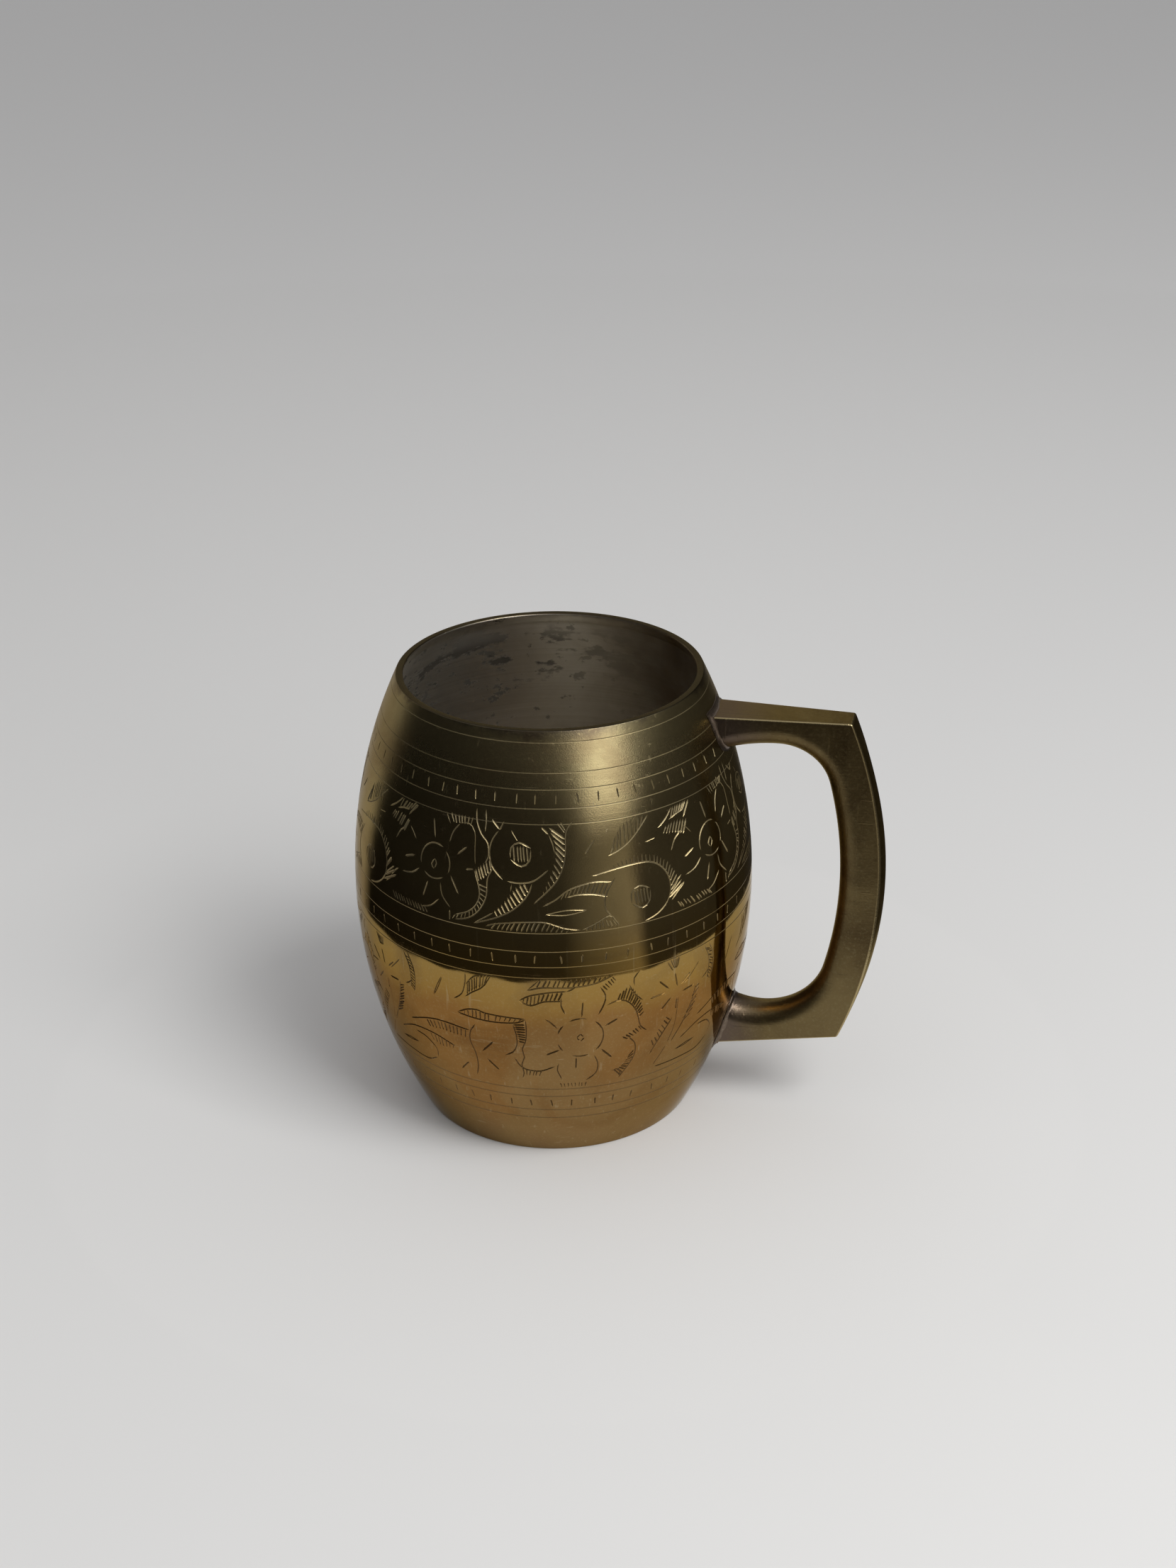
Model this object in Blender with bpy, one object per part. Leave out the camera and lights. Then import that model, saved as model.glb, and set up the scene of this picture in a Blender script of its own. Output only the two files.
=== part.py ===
"""A barrel mug of aged brass with a tinned inside and a cast, brazed-on handle.

The mug stands on the plane z = 0 with its axis on Z, and its handle points along +X. Units are metres.
"""

import math

import bmesh
import bpy

# Fit between touching pieces
FIT_GAP = 0.0003

# Barrel, measured on its outer surface
MUG_HEIGHT = 0.117
RIM_RADIUS = 0.0377
BELLY_RADIUS = 0.0505
BELLY_HEIGHT = 0.060
FOOT_RADIUS = 0.0358
SHELL_WALL = 0.0012
LIP_THICKNESS = 0.0018
LIP_DEPTH = 0.0030
LIP_EDGE_ROUND = 0.0004
FOOT_EDGE_RADIUS = 0.0004

# Bottom and lining
BASE_INSET = 0.0008
BASE_THICKNESS = 0.0016
BASE_EDGE_CHAMFER = 0.0004
LINING_THICKNESS = 0.0003
LINING_CORNER_LEG = 0.0037

# Handle outline, seen from the side; reaches are measured from the belly
HANDLE_TOP_DROP = 0.0074
UPPER_ARM_DEPTH = 0.0077
TOP_CORNER_REACH = 0.0242
BOTTOM_CORNER_REACH = 0.0238
BOTTOM_CORNER_HEIGHT = 0.0219
LOWER_ROOT_HEIGHT = 0.0178
LOWER_ARM_DEPTH = 0.0084
STRAP_BULGE = 0.0089
STRAP_THICKNESS = 0.0105
FINGER_CORNER_TOP = 0.013
FINGER_CORNER_BOTTOM = 0.017

# Handle section
CHEEK_WIDTH_AT_BELLY = 0.0106
CHEEK_WIDTH_AT_CORNER = 0.0076
FINGER_ROUND_DEPTH = 0.0052
STRAP_CROWN = 0.0012
CROWN_SET_BACK = 0.35
UPPER_ROOT_SWELL = 0.0022
LOWER_ROOT_SWELL = 0.0012
ROOT_OVERRUN = 0.005

# Braze runs round the handle's two roots
FILLET_LEG = 0.0018
FILLET_FEATHER = 0.00025

# Facets
TURN_SEGMENTS = 64
WALL_STEPS = 12
EDGE_STEPS = 5
ARM_STEPS = 6
CORNER_STEPS = 5
STRAP_STEPS = 10
ROUND_STEPS = 8
CROWN_STEPS = 6
SIDE_STEPS = 4
FILLET_STEPS = 4
SETTLE_PASSES = 12
MERGE_DISTANCE = 1e-7
SHARP_ANGLE = math.radians(35)

# Finishes, each a colour and a roughness
BRASS = ((0.42, 0.29, 0.12), 0.32)
BRASS_CAST = ((0.40, 0.31, 0.14), 0.36)
BRASS_PLATE = ((0.45, 0.31, 0.14), 0.40)
TIN = ((0.38, 0.37, 0.36), 0.45)
SOLDER = ((0.44, 0.43, 0.42), 0.45)
BRAZE = ((0.36, 0.28, 0.22), 0.50)


def between(start, end, steps):
    """Evenly spaced values from start to end, both included."""
    return [start + (end - start) * i / steps for i in range(steps + 1)]


def on_circle(centre, radius, angle):
    """Point of a circle in the profile plane."""
    return centre[0] + radius * math.cos(angle), centre[1] + radius * math.sin(angle)


def arc_radius(rise, inset):
    """Radius of an arc that starts upright and moves in by inset over rise."""
    return (rise * rise + inset * inset) / (2 * inset)


UPPER_ARC = arc_radius(MUG_HEIGHT - BELLY_HEIGHT, BELLY_RADIUS - RIM_RADIUS)
LOWER_ARC = arc_radius(BELLY_HEIGHT, BELLY_RADIUS - FOOT_RADIUS)
FLOOR_SEAT = BASE_INSET + BASE_THICKNESS + FIT_GAP
LINING_DEPTH = SHELL_WALL + FIT_GAP


def barrel_arc(z):
    """Radius of the profile arc at height z."""
    return UPPER_ARC if z > BELLY_HEIGHT else LOWER_ARC


def barrel_radius(z, depth=0.0):
    """Radius at height z of the surface that lies depth inside the barrel's outer one."""
    arc = barrel_arc(z)
    return BELLY_RADIUS - arc + math.sqrt((arc - depth) ** 2 - (z - BELLY_HEIGHT) ** 2)


def barrel_slope(z, depth=0.0):
    """Angle of the outward normal above the horizontal."""
    return math.asin((z - BELLY_HEIGHT) / (barrel_arc(z) - depth))


# Round of the lining's floor corner, which touches wall and floor one leg away from it
LINING_CORNER_RADIUS = LINING_CORNER_LEG * math.tan(math.pi / 4 - barrel_slope(FLOOR_SEAT, LINING_DEPTH) / 2)


def make_material(name, finish):
    colour, roughness = finish
    material = bpy.data.materials.new(name)
    material.use_nodes = True
    shader = material.node_tree.nodes["Principled BSDF"]
    shader.inputs["Base Color"].default_value = (*colour, 1.0)
    shader.inputs["Roughness"].default_value = roughness
    shader.inputs["Metallic"].default_value = 1.0
    return material


def make_object(name, bm, finish):
    """Turns a finished bmesh into a named, smooth-shaded object with its own material."""
    bmesh.ops.recalc_face_normals(bm, faces=bm.faces)
    if bm.calc_volume(signed=True) < 0:
        bmesh.ops.reverse_faces(bm, faces=bm.faces)
    mesh = bpy.data.meshes.new(name)
    bm.to_mesh(mesh)
    bm.free()
    mesh.shade_smooth()
    mesh.set_sharp_from_angle(angle=SHARP_ANGLE)
    mesh.materials.append(make_material(name, finish))
    part = bpy.data.objects.new(name, mesh)
    bpy.context.scene.collection.objects.link(part)
    return part


def turn(profile, closed):
    """Turns a profile of (radius, height) points about Z; an open profile starts and ends on the axis."""
    bm = bmesh.new()
    points = [bm.verts.new((r, 0.0, z)) for r, z in profile]
    edges = [bm.edges.new(pair) for pair in zip(points, points[1:])]
    if closed:
        edges.append(bm.edges.new((points[-1], points[0])))
    bmesh.ops.spin(
        bm,
        geom=points + edges,
        axis=(0.0, 0.0, 1.0),
        cent=(0.0, 0.0, 0.0),
        angle=2 * math.pi,
        steps=TURN_SEGMENTS,
        use_merge=True,
    )
    bmesh.ops.remove_doubles(bm, verts=bm.verts, dist=MERGE_DISTANCE)
    return bm


def lip_profile():
    """The flat lip with its rounded edges, from its outer tangent point over the top to its inner one."""
    height = MUG_HEIGHT - LIP_EDGE_ROUND
    outer_depth = LIP_EDGE_ROUND
    inner_depth = LIP_THICKNESS - LIP_EDGE_ROUND
    outer = (barrel_radius(height, outer_depth), height)
    inner = (barrel_radius(height, inner_depth), height)
    outer_angles = between(barrel_slope(height, outer_depth), math.pi / 2, EDGE_STEPS)
    inner_angles = between(math.pi / 2, math.pi + barrel_slope(height, inner_depth), EDGE_STEPS)
    lip = [on_circle(outer, LIP_EDGE_ROUND, a) for a in outer_angles]
    return lip + [on_circle(inner, LIP_EDGE_ROUND, a) for a in inner_angles]


def foot_profile():
    """The rounded foot edge, from the outer wall down to the standing plane."""
    centre = (barrel_radius(FOOT_EDGE_RADIUS, FOOT_EDGE_RADIUS), FOOT_EDGE_RADIUS)
    tilt = barrel_slope(FOOT_EDGE_RADIUS, FOOT_EDGE_RADIUS)
    return [on_circle(centre, FOOT_EDGE_RADIUS, a) for a in between(tilt, -math.pi / 2, EDGE_STEPS)]


def lip_ledge():
    """Heights of the ledge under the lip: where the full thickness ends and the thin wall begins."""
    upper = MUG_HEIGHT - LIP_DEPTH
    return upper, upper - abs(LIP_THICKNESS - SHELL_WALL)


def make_barrel_body():
    lip = lip_profile()
    foot = foot_profile()
    ledge_top, ledge_bottom = lip_ledge()
    ledge = [(barrel_radius(ledge_top, LIP_THICKNESS), ledge_top)]
    inner = [(barrel_radius(z, SHELL_WALL), z) for z in between(ledge_bottom, 0.0, WALL_STEPS)]
    outer = [(barrel_radius(z), z) for z in between(foot[0][1], lip[0][1], WALL_STEPS)[1:-1]]
    profile = lip + ledge + inner + foot[::-1] + outer
    return make_object("barrel_body", turn(profile, True), BRASS)


def make_base_disc():
    """A disc dropped in from the mouth, whose tapered edge the narrowing foot stops."""
    bottom = BASE_INSET
    top = BASE_INSET + BASE_THICKNESS
    edge = SHELL_WALL + FIT_GAP
    shoulder = bottom + BASE_EDGE_CHAMFER
    profile = [
        (0.0, top),
        (barrel_radius(top, edge), top),
        (barrel_radius(shoulder, edge), shoulder),
        (barrel_radius(bottom, edge) - BASE_EDGE_CHAMFER, bottom),
        (0.0, bottom),
    ]
    return make_object("base_disc", turn(profile, False), BRASS_PLATE)


def lining_corner():
    """Centre of the lining's rounded floor corner, and its angle against the wall."""
    height = FLOOR_SEAT + LINING_CORNER_RADIUS
    depth = LINING_DEPTH + LINING_CORNER_RADIUS
    return (barrel_radius(height, depth), height), barrel_slope(height, depth)


def make_tin_lining():
    """A thin cup that covers the inside wall and the floor and ends under the lip's ledge."""
    centre, wall_angle = lining_corner()
    top = lip_ledge()[1] - FIT_GAP
    angles = between(wall_angle, -math.pi / 2, EDGE_STEPS)

    def side(inward):
        radius = LINING_CORNER_RADIUS - inward
        corner = [on_circle(centre, radius, a) for a in angles]
        heights = between(top, corner[0][1], WALL_STEPS)[:-1]
        wall = [(barrel_radius(z, LINING_DEPTH + inward), z) for z in heights]
        return wall + corner

    outside = side(0.0) + [(0.0, FLOOR_SEAT)]
    inside = side(LINING_THICKNESS) + [(0.0, FLOOR_SEAT + LINING_THICKNESS)]
    profile = list(reversed(inside)) + outside
    return make_object("tin_lining", turn(profile, False), TIN)


def make_base_solder_ring():
    """The solder run in the corner above the disc, filling what the lining's round leaves."""
    centre, wall_angle = lining_corner()
    radius = LINING_CORNER_RADIUS + FIT_GAP
    feather = math.acos(LINING_CORNER_RADIUS / radius)
    corner = (barrel_radius(FLOOR_SEAT, LINING_DEPTH), FLOOR_SEAT)
    angles = between(-math.pi / 2 + feather, wall_angle - feather, EDGE_STEPS)
    profile = [corner] + [on_circle(centre, radius, a) for a in angles]
    return make_object("base_solder_ring", turn(profile, True), SOLDER)


# Handle outline, derived from the driving dimensions
HANDLE_TOP = MUG_HEIGHT - HANDLE_TOP_DROP
FINGER_TOP = HANDLE_TOP - UPPER_ARM_DEPTH
FINGER_BOTTOM = (LOWER_ROOT_HEIGHT + BOTTOM_CORNER_HEIGHT) / 2 + LOWER_ARM_DEPTH
TOP_CORNER = (BELLY_RADIUS + TOP_CORNER_REACH, HANDLE_TOP)
BOTTOM_CORNER = (BELLY_RADIUS + BOTTOM_CORNER_REACH, BOTTOM_CORNER_HEIGHT)


def strap_arc():
    """Centre and radius of the strap's outer arc through the handle's two outer corners."""
    along = (BOTTOM_CORNER[0] - TOP_CORNER[0], BOTTOM_CORNER[1] - TOP_CORNER[1])
    chord = math.hypot(*along)
    radius = arc_radius(chord / 2, STRAP_BULGE)
    back = (radius - STRAP_BULGE) / chord
    middle = ((TOP_CORNER[0] + BOTTOM_CORNER[0]) / 2, (TOP_CORNER[1] + BOTTOM_CORNER[1]) / 2)
    return (middle[0] + along[1] * back, middle[1] - along[0] * back), radius


def strap_angle(point):
    """Angle of a point about the centre of the strap's outer arc."""
    centre = strap_arc()[0]
    return math.atan2(point[1] - centre[1], point[0] - centre[0])


def strap_crown(point):
    """How far the middle of the strap's outer side stands over its arrises; nothing on the arms."""
    low, high = strap_angle(BOTTOM_CORNER), strap_angle(TOP_CORNER)
    share = (strap_angle(point) - low) / (high - low)
    return STRAP_CROWN * math.sin(math.pi * min(max(share, 0.0), 1.0))


def cheek_width(x):
    """Width of the handle across Y; both cheeks are flat and taper towards the strap."""
    taper = (CHEEK_WIDTH_AT_CORNER - CHEEK_WIDTH_AT_BELLY) / TOP_CORNER_REACH
    return CHEEK_WIDTH_AT_BELLY + taper * (x - BELLY_RADIUS)


def finger_corner(height, radius):
    """Centre of a finger corner's round, and the angle at which the round meets the strap."""
    centre, outer_radius = strap_arc()
    reach = outer_radius - STRAP_THICKNESS - radius
    x = centre[0] + math.sqrt(reach**2 - (height - centre[1]) ** 2)
    return (x, height), math.atan2(height - centre[1], x - centre[0])


TOP_ROUND, TOP_ANGLE = finger_corner(FINGER_TOP - FINGER_CORNER_TOP, FINGER_CORNER_TOP)
LOW_ROUND, LOW_ANGLE = finger_corner(FINGER_BOTTOM + FINGER_CORNER_BOTTOM, FINGER_CORNER_BOTTOM)


def root_swell(x, height, corner_x, swell):
    """How much an arm thickens on its finger side from its finger corner to the barrel."""
    share = (corner_x - x) / (corner_x - barrel_radius(height))
    return swell * min(max(share, 0.0), 1.0) ** 2


def upper_arm(x):
    """Heights of the upper arm's flat outer side and of its finger side."""
    return HANDLE_TOP, FINGER_TOP - root_swell(x, FINGER_TOP, TOP_ROUND[0], UPPER_ROOT_SWELL)


def lower_arm(x):
    """Heights of the lower arm's flat outer side and of its finger side."""
    root = barrel_radius(LOWER_ROOT_HEIGHT)
    rise = (BOTTOM_CORNER_HEIGHT - LOWER_ROOT_HEIGHT) / (BOTTOM_CORNER[0] - root)
    finger_side = FINGER_BOTTOM + root_swell(x, FINGER_BOTTOM, LOW_ROUND[0], LOWER_ROOT_SWELL)
    return LOWER_ROOT_HEIGHT + rise * (x - root), finger_side


def handle_stations():
    """Pairs of points (finger side, outer side) along the handle from its upper to its lower root."""
    centre, outer_radius = strap_arc()
    inner_radius = outer_radius - STRAP_THICKNESS

    def arm(profile, start, end):
        return [((x, profile(x)[1]), (x, profile(x)[0])) for x in between(start, end, ARM_STEPS)]

    top_middle = (math.pi / 2 + TOP_ANGLE) / 2
    low_middle = (LOW_ANGLE - math.pi / 2) / 2

    def corner(round_centre, radius, angles, outside):
        inside = [on_circle(round_centre, radius, a) for a in between(*angles, CORNER_STEPS)]
        return list(zip(inside, outside))[1:]

    def on_strap(start, end, steps):
        return [on_circle(centre, outer_radius, a) for a in between(start, end, steps)]

    top_edge = [(x, HANDLE_TOP) for x in between(TOP_ROUND[0], TOP_CORNER[0], CORNER_STEPS)]
    low_edge = [(x, lower_arm(x)[0]) for x in between(BOTTOM_CORNER[0], LOW_ROUND[0], CORNER_STEPS)]
    strap_top = on_strap(strap_angle(TOP_CORNER), TOP_ANGLE, CORNER_STEPS)
    strap_low = on_strap(LOW_ANGLE, strap_angle(BOTTOM_CORNER), CORNER_STEPS)
    strap_angles = between(TOP_ANGLE, LOW_ANGLE, STRAP_STEPS)
    strap = [
        (on_circle(centre, inner_radius, a), on_circle(centre, outer_radius, a)) for a in strap_angles
    ]
    stations = arm(upper_arm, barrel_radius(HANDLE_TOP) - ROOT_OVERRUN, TOP_ROUND[0])
    stations += corner(TOP_ROUND, FINGER_CORNER_TOP, (math.pi / 2, top_middle), top_edge)
    stations += corner(TOP_ROUND, FINGER_CORNER_TOP, (top_middle, TOP_ANGLE), strap_top)
    stations += strap[1:]
    stations += corner(LOW_ROUND, FINGER_CORNER_BOTTOM, (LOW_ANGLE, low_middle), strap_low)
    stations += corner(LOW_ROUND, FINGER_CORNER_BOTTOM, (low_middle, -math.pi / 2), low_edge)
    stations += arm(lower_arm, LOW_ROUND[0], barrel_radius(LOWER_ROOT_HEIGHT) - ROOT_OVERRUN)[1:]
    return stations


def handle_section(finger_side, outer_side):
    """One closed section: a crowned outer side, two flat cheeks and a rounded finger side."""
    dx = outer_side[0] - finger_side[0]
    dz = outer_side[1] - finger_side[1]
    length = math.hypot(dx, dz)
    half = cheek_width(outer_side[0]) / 2
    crown = strap_crown(outer_side)

    def outside(across):
        out = 1 + crown * (1 - across**2 - CROWN_SET_BACK) / length
        return finger_side[0] + dx * out, half * across, finger_side[1] + dz * out

    points = [outside(1.0)]
    for angle in between(math.pi / 2, -math.pi / 2, ROUND_STEPS):
        share = FINGER_ROUND_DEPTH * (1 - math.cos(angle)) / length
        x = finger_side[0] + dx * share
        points.append((x, cheek_width(x) / 2 * math.sin(angle), finger_side[1] + dz * share))
    points += [outside(across) for across in between(-1.0, 1.0, CROWN_STEPS)[:-1]]
    return points


def skin_rings(bm, rings):
    """Joins closed rings of equal counts with quads."""
    for ring, following in zip(rings, rings[1:]):
        for i in range(len(ring)):
            j = (i + 1) % len(ring)
            bm.faces.new((ring[i], ring[j], following[j], following[i]))


def make_barrel_cutter():
    """A hidden solid of the barrel's outer shape, grown by the fit, which trims the handle's roots."""
    heights = between(0.0, MUG_HEIGHT, 2 * WALL_STEPS)
    wall = [(barrel_radius(z, -FIT_GAP), z) for z in reversed(heights)]
    profile = [(0.0, MUG_HEIGHT)] + wall + [(0.0, 0.0)]
    cutter = make_object("barrel_cutter", turn(profile, False), BRASS)
    cutter.hide_render = True
    cutter.display_type = "WIRE"
    return cutter


def make_handle():
    bm = bmesh.new()
    rings = [[bm.verts.new(p) for p in handle_section(*pair)] for pair in handle_stations()]
    skin_rings(bm, rings)
    bm.faces.new(rings[0])
    bm.faces.new(rings[-1])
    handle = make_object("handle", bm, BRASS_CAST)
    trim = handle.modifiers.new("trim_to_barrel", "BOOLEAN")
    trim.operation = "DIFFERENCE"
    trim.solver = "EXACT"
    trim.object = make_barrel_cutter()
    return handle


def root_outline(arm, x, grow):
    """(y, z) points round an arm's section at x, grown outwards all round."""
    outer_z, finger_z = arm(x)
    out = math.copysign(1.0, outer_z - finger_z)
    half = cheek_width(x) / 2 + grow
    flat_z = outer_z + out * grow
    round_z = finger_z - out * grow
    depth = FINGER_ROUND_DEPTH + grow
    shoulder_z = round_z + out * depth
    points = [(y, flat_z) for y in between(-half, half, SIDE_STEPS)[:-1]]
    points += [(half, z) for z in between(flat_z, shoulder_z, SIDE_STEPS)[:-1]]
    for angle in between(math.pi / 2, -math.pi / 2, 2 * ROUND_STEPS):
        points.append((half * math.sin(angle), round_z + out * depth * (1 - math.cos(angle))))
    points += [(-half, z) for z in between(shoulder_z, flat_z, SIDE_STEPS)[1:-1]]
    return points


def root_ring(arm, standoff, grow):
    """Points of a root outline laid at an even standoff from the barrel."""
    start = barrel_radius(arm(BELLY_RADIUS)[0])
    ring = []
    for index in range(len(root_outline(arm, start, grow))):
        x = start
        for _ in range(SETTLE_PASSES):
            y, z = root_outline(arm, x, grow)[index]
            x = math.sqrt(barrel_radius(z, -standoff) ** 2 - y * y)
        ring.append((x, y, z))
    return ring


def make_braze_fillet(name, arm):
    """A hollow-faced collar of braze between an arm and the barrel."""
    feather = FIT_GAP + FILLET_FEATHER
    steps = between(0.0, math.pi / 2, FILLET_STEPS)
    section = [
        (
            FILLET_LEG - (FILLET_LEG - FIT_GAP) * math.cos(a),
            FILLET_LEG - (FILLET_LEG - feather) * math.sin(a),
        )
        for a in steps
    ]
    section += [(FILLET_LEG, FIT_GAP), (FIT_GAP, FIT_GAP)]
    bm = bmesh.new()
    rings = [[bm.verts.new(p) for p in root_ring(arm, *spot)] for spot in section]
    skin_rings(bm, rings + rings[:1])
    return make_object(name, bm, BRAZE)


def main():
    for old in list(bpy.data.objects):
        bpy.data.objects.remove(old, do_unlink=True)
    make_barrel_body()
    make_base_disc()
    make_base_solder_ring()
    make_tin_lining()
    make_handle()
    make_braze_fillet("upper_braze_fillet", upper_arm)
    make_braze_fillet("lower_braze_fillet", lower_arm)


main()
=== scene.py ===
"""Looks of the engraved brass barrel mug: its finished pieces, their metals, the light and the camera."""

import math
import random

import bmesh
import bpy
import numpy as np
from mathutils import Matrix, Vector
from mathutils.geometry import delaunay_2d_cdt


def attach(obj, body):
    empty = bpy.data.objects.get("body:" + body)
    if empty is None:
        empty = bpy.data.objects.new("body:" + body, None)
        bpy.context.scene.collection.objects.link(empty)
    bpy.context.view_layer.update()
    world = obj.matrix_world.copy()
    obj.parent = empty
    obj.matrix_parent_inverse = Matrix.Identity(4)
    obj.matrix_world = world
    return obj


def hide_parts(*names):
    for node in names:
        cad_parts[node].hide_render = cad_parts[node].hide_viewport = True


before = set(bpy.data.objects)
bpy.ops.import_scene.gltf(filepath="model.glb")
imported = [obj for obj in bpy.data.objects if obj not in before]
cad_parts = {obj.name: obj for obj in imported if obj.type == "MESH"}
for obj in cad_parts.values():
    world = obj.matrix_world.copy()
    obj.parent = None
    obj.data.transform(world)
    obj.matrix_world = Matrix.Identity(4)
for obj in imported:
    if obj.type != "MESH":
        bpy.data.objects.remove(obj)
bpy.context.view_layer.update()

# Sizes shared with the solids, in metres
MUG_HEIGHT = 0.117
RIM_RADIUS = 0.0377
BELLY_RADIUS = 0.0505
BELLY_HEIGHT = 0.060
FOOT_RADIUS = 0.0358
SHELL_WALL = 0.0012
LIP_THICKNESS = 0.0018
LIP_DEPTH = 0.0030
LIP_EDGE_ROUND = 0.0004
FOOT_EDGE_RADIUS = 0.0004
FIT_GAP = 0.0003
BASE_INSET = 0.0008
BASE_THICKNESS = 0.0016
BASE_EDGE_CHAMFER = 0.0004
LINING_THICKNESS = 0.0003
LINING_CORNER_LEG = 0.0037
HANDLE_TOP_DROP = 0.0074
UPPER_ARM_DEPTH = 0.0077
TOP_CORNER_REACH = 0.0242
BOTTOM_CORNER_REACH = 0.0238
BOTTOM_CORNER_HEIGHT = 0.0219
LOWER_ROOT_HEIGHT = 0.0178
LOWER_ARM_DEPTH = 0.0084
STRAP_BULGE = 0.0089
STRAP_THICKNESS = 0.0105
FINGER_CORNER_TOP = 0.013
FINGER_CORNER_BOTTOM = 0.017
CHEEK_WIDTH_AT_BELLY = 0.0106
CHEEK_WIDTH_AT_CORNER = 0.0076
FINGER_ROUND_DEPTH = 0.0052
STRAP_CROWN = 0.0012
CROWN_SET_BACK = 0.35
UPPER_ROOT_SWELL = 0.0022
LOWER_ROOT_SWELL = 0.0012
ROOT_OVERRUN = 0.005

# Sizes of the finish
ARRIS_ROUND = 0.0005
FILLET_FEATHER = 0.00006
FILLET_SEAT = 0.00008
FILLET_FINISH = 0.0010
FILLET_RIPPLE = 0.00016
LINING_CLEARANCE = 0.00002
FACING_DEPTH = 0.00006
CENTRE_MARK_SHOULDER = 0.00030
CENTRE_MARK_DEPTH = 0.00054

# Share of the lip's thickness past which the shell counts as its inside
TINNED_SHARE = 0.6

# Shares of the bottom disc's radius: where the lathe steps start and end, and the centre mark
FACING_START = 0.97
FACING_END = 0.06
CENTRE_MARK_SHARE = 0.03

# Ripples of the braze: waves round the arm, strength, and how far the phase shifts them
BRAZE_RIPPLES = ((3, 1.0, 1.0), (7, 0.6, 2.1), (13, 0.4, 0.0))
UPPER_BRAZE_PHASE = 0.4
LOWER_BRAZE_PHASE = 2.6
ARM_SIDE_PHASE = 1.7

# Widths and depths of the cuts, in millimetres, and how strongly the rings take the cuts' dirt and painted
# light
LINE_WIDTH = 0.41
LINE_DEPTH = 0.14
FAINT_WIDTH = 0.26
HATCH_WIDTH = 0.50
HATCH_DEPTH = 0.18
RING_WIDTH = 0.30
LOW_RING_WIDTH = 0.54
RING_DEPTH = 0.03
RING_MARK_SHARE = 0.36

# The engraver's hand: how cuts taper, stray and swell
HAND_SEED = 11
HAND_WOBBLE = 0.10
REPEAT_WOBBLE = 0.30
STROKE_TAPER = 0.45
STROKE_SHOULDERS = (0.22, 0.86)
HATCH_STRAY = 0.12
HATCH_SWELL = (0.8, 1.15)
SHORTEST_HATCH = 0.5
LEAF_REACH = (0.08, 0.96)
VEIN_SHARE = 0.8
DASH_STRAY = 0.6
DASH_LEAN = (-0.3, 0.5)

# An uneven oval in shares of its half sizes: its corners, and the spread, lean and ends of its hatching
OVAL_CORNERS = ((-1.0, -0.45), (-1.0, 0.5), (-0.2, 1.0), (1.0, 0.55), (0.9, -0.5), (0.1, -1.0))
OVAL_HATCH = (-0.62, 0.66)
OVAL_LEAN = 0.08
OVAL_ENDS = (-0.70, 0.74)

# Facets
GIRTH_STEPS = 288
SHEET_ROW = 1.7
CURVE_STEP = 0.9
STROKE_CLEARANCE = 0.35
EDGE_STEPS = 8
WALL_STEPS = 36
FOOT_STEPS = 6
FACING_STEPS = 22
ARM_STEPS = 14
CORNER_STEPS = 14
STRAP_STEPS = 44
ROUND_STEPS = 16
CROWN_STEPS = 12
ARRIS_STEPS = 3
SIDE_STEPS = 14
FILLET_STEPS = 8
FILLET_PASSES = 8
STAGE_STEPS = 96

# Tolerances
MERGE_DISTANCE = 2e-6
PLAN_TOLERANCE = 1e-5
LEAST_REACH = 1e-6
LEAST_CUT = 1e-4
WALL_TOLERANCE = 5e-6
TOP_TOLERANCE = 1e-5

# Angles past which an edge stays sharp or, on the handle, is eased, in degrees
BARREL_CREASE = 35.0
LINING_CREASE = 50.0
PLATE_CREASE = 30.0
HANDLE_CREASE = 40.0
BRAZE_CREASE = 50.0
ARRIS_ANGLE = 42.0

# The engraved sheet, in millimetres of height and degrees round the girth
MM = 0.001
SHEET_BOTTOM = 11.0
SHEET_TOP = 115.8
EDGE_MARGIN = 1.0
SEAM_MARGIN = 0.6
SEAM_ANGLE = -125.0
SHEET_LEFT = math.radians(SEAM_ANGLE) * BELLY_RADIUS / MM
SHEET_GIRTH = 2 * math.pi * BELLY_RADIUS / MM
UPPER_RINGS = (114.55, 108.1, 104.5, 100.3, 96.8, 70.6, 65.8, 61.7, 58.75)
LOWER_RINGS = (24.4, 21.8, 16.8, 13.7)
RINGS = [(height, RING_WIDTH) for height in UPPER_RINGS]
RINGS += [(height, LOW_RING_WIDTH) for height in LOWER_RINGS]
DASH_BANDS = ((101.3, 103.7, 58), (62.6, 65.0, 58), (18.0, 20.6, 54))
UPPER_REPEATS = (-88.5, 0.0, 86.5, 179.0)
LOWER_REPEATS = (0.0, 92.5, 183.0, 271.5)

# Colours of the tin
TIN = (0.74, 0.70, 0.61)
TURNED_TIN = (0.86, 0.82, 0.74)
DULL_TIN = (0.46, 0.41, 0.33)
# Painted shade: brown for the tin's +X side
SHADED_TIN = (0.19, 0.13, 0.07)
BURNT_TIN = (0.10, 0.085, 0.065)
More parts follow.
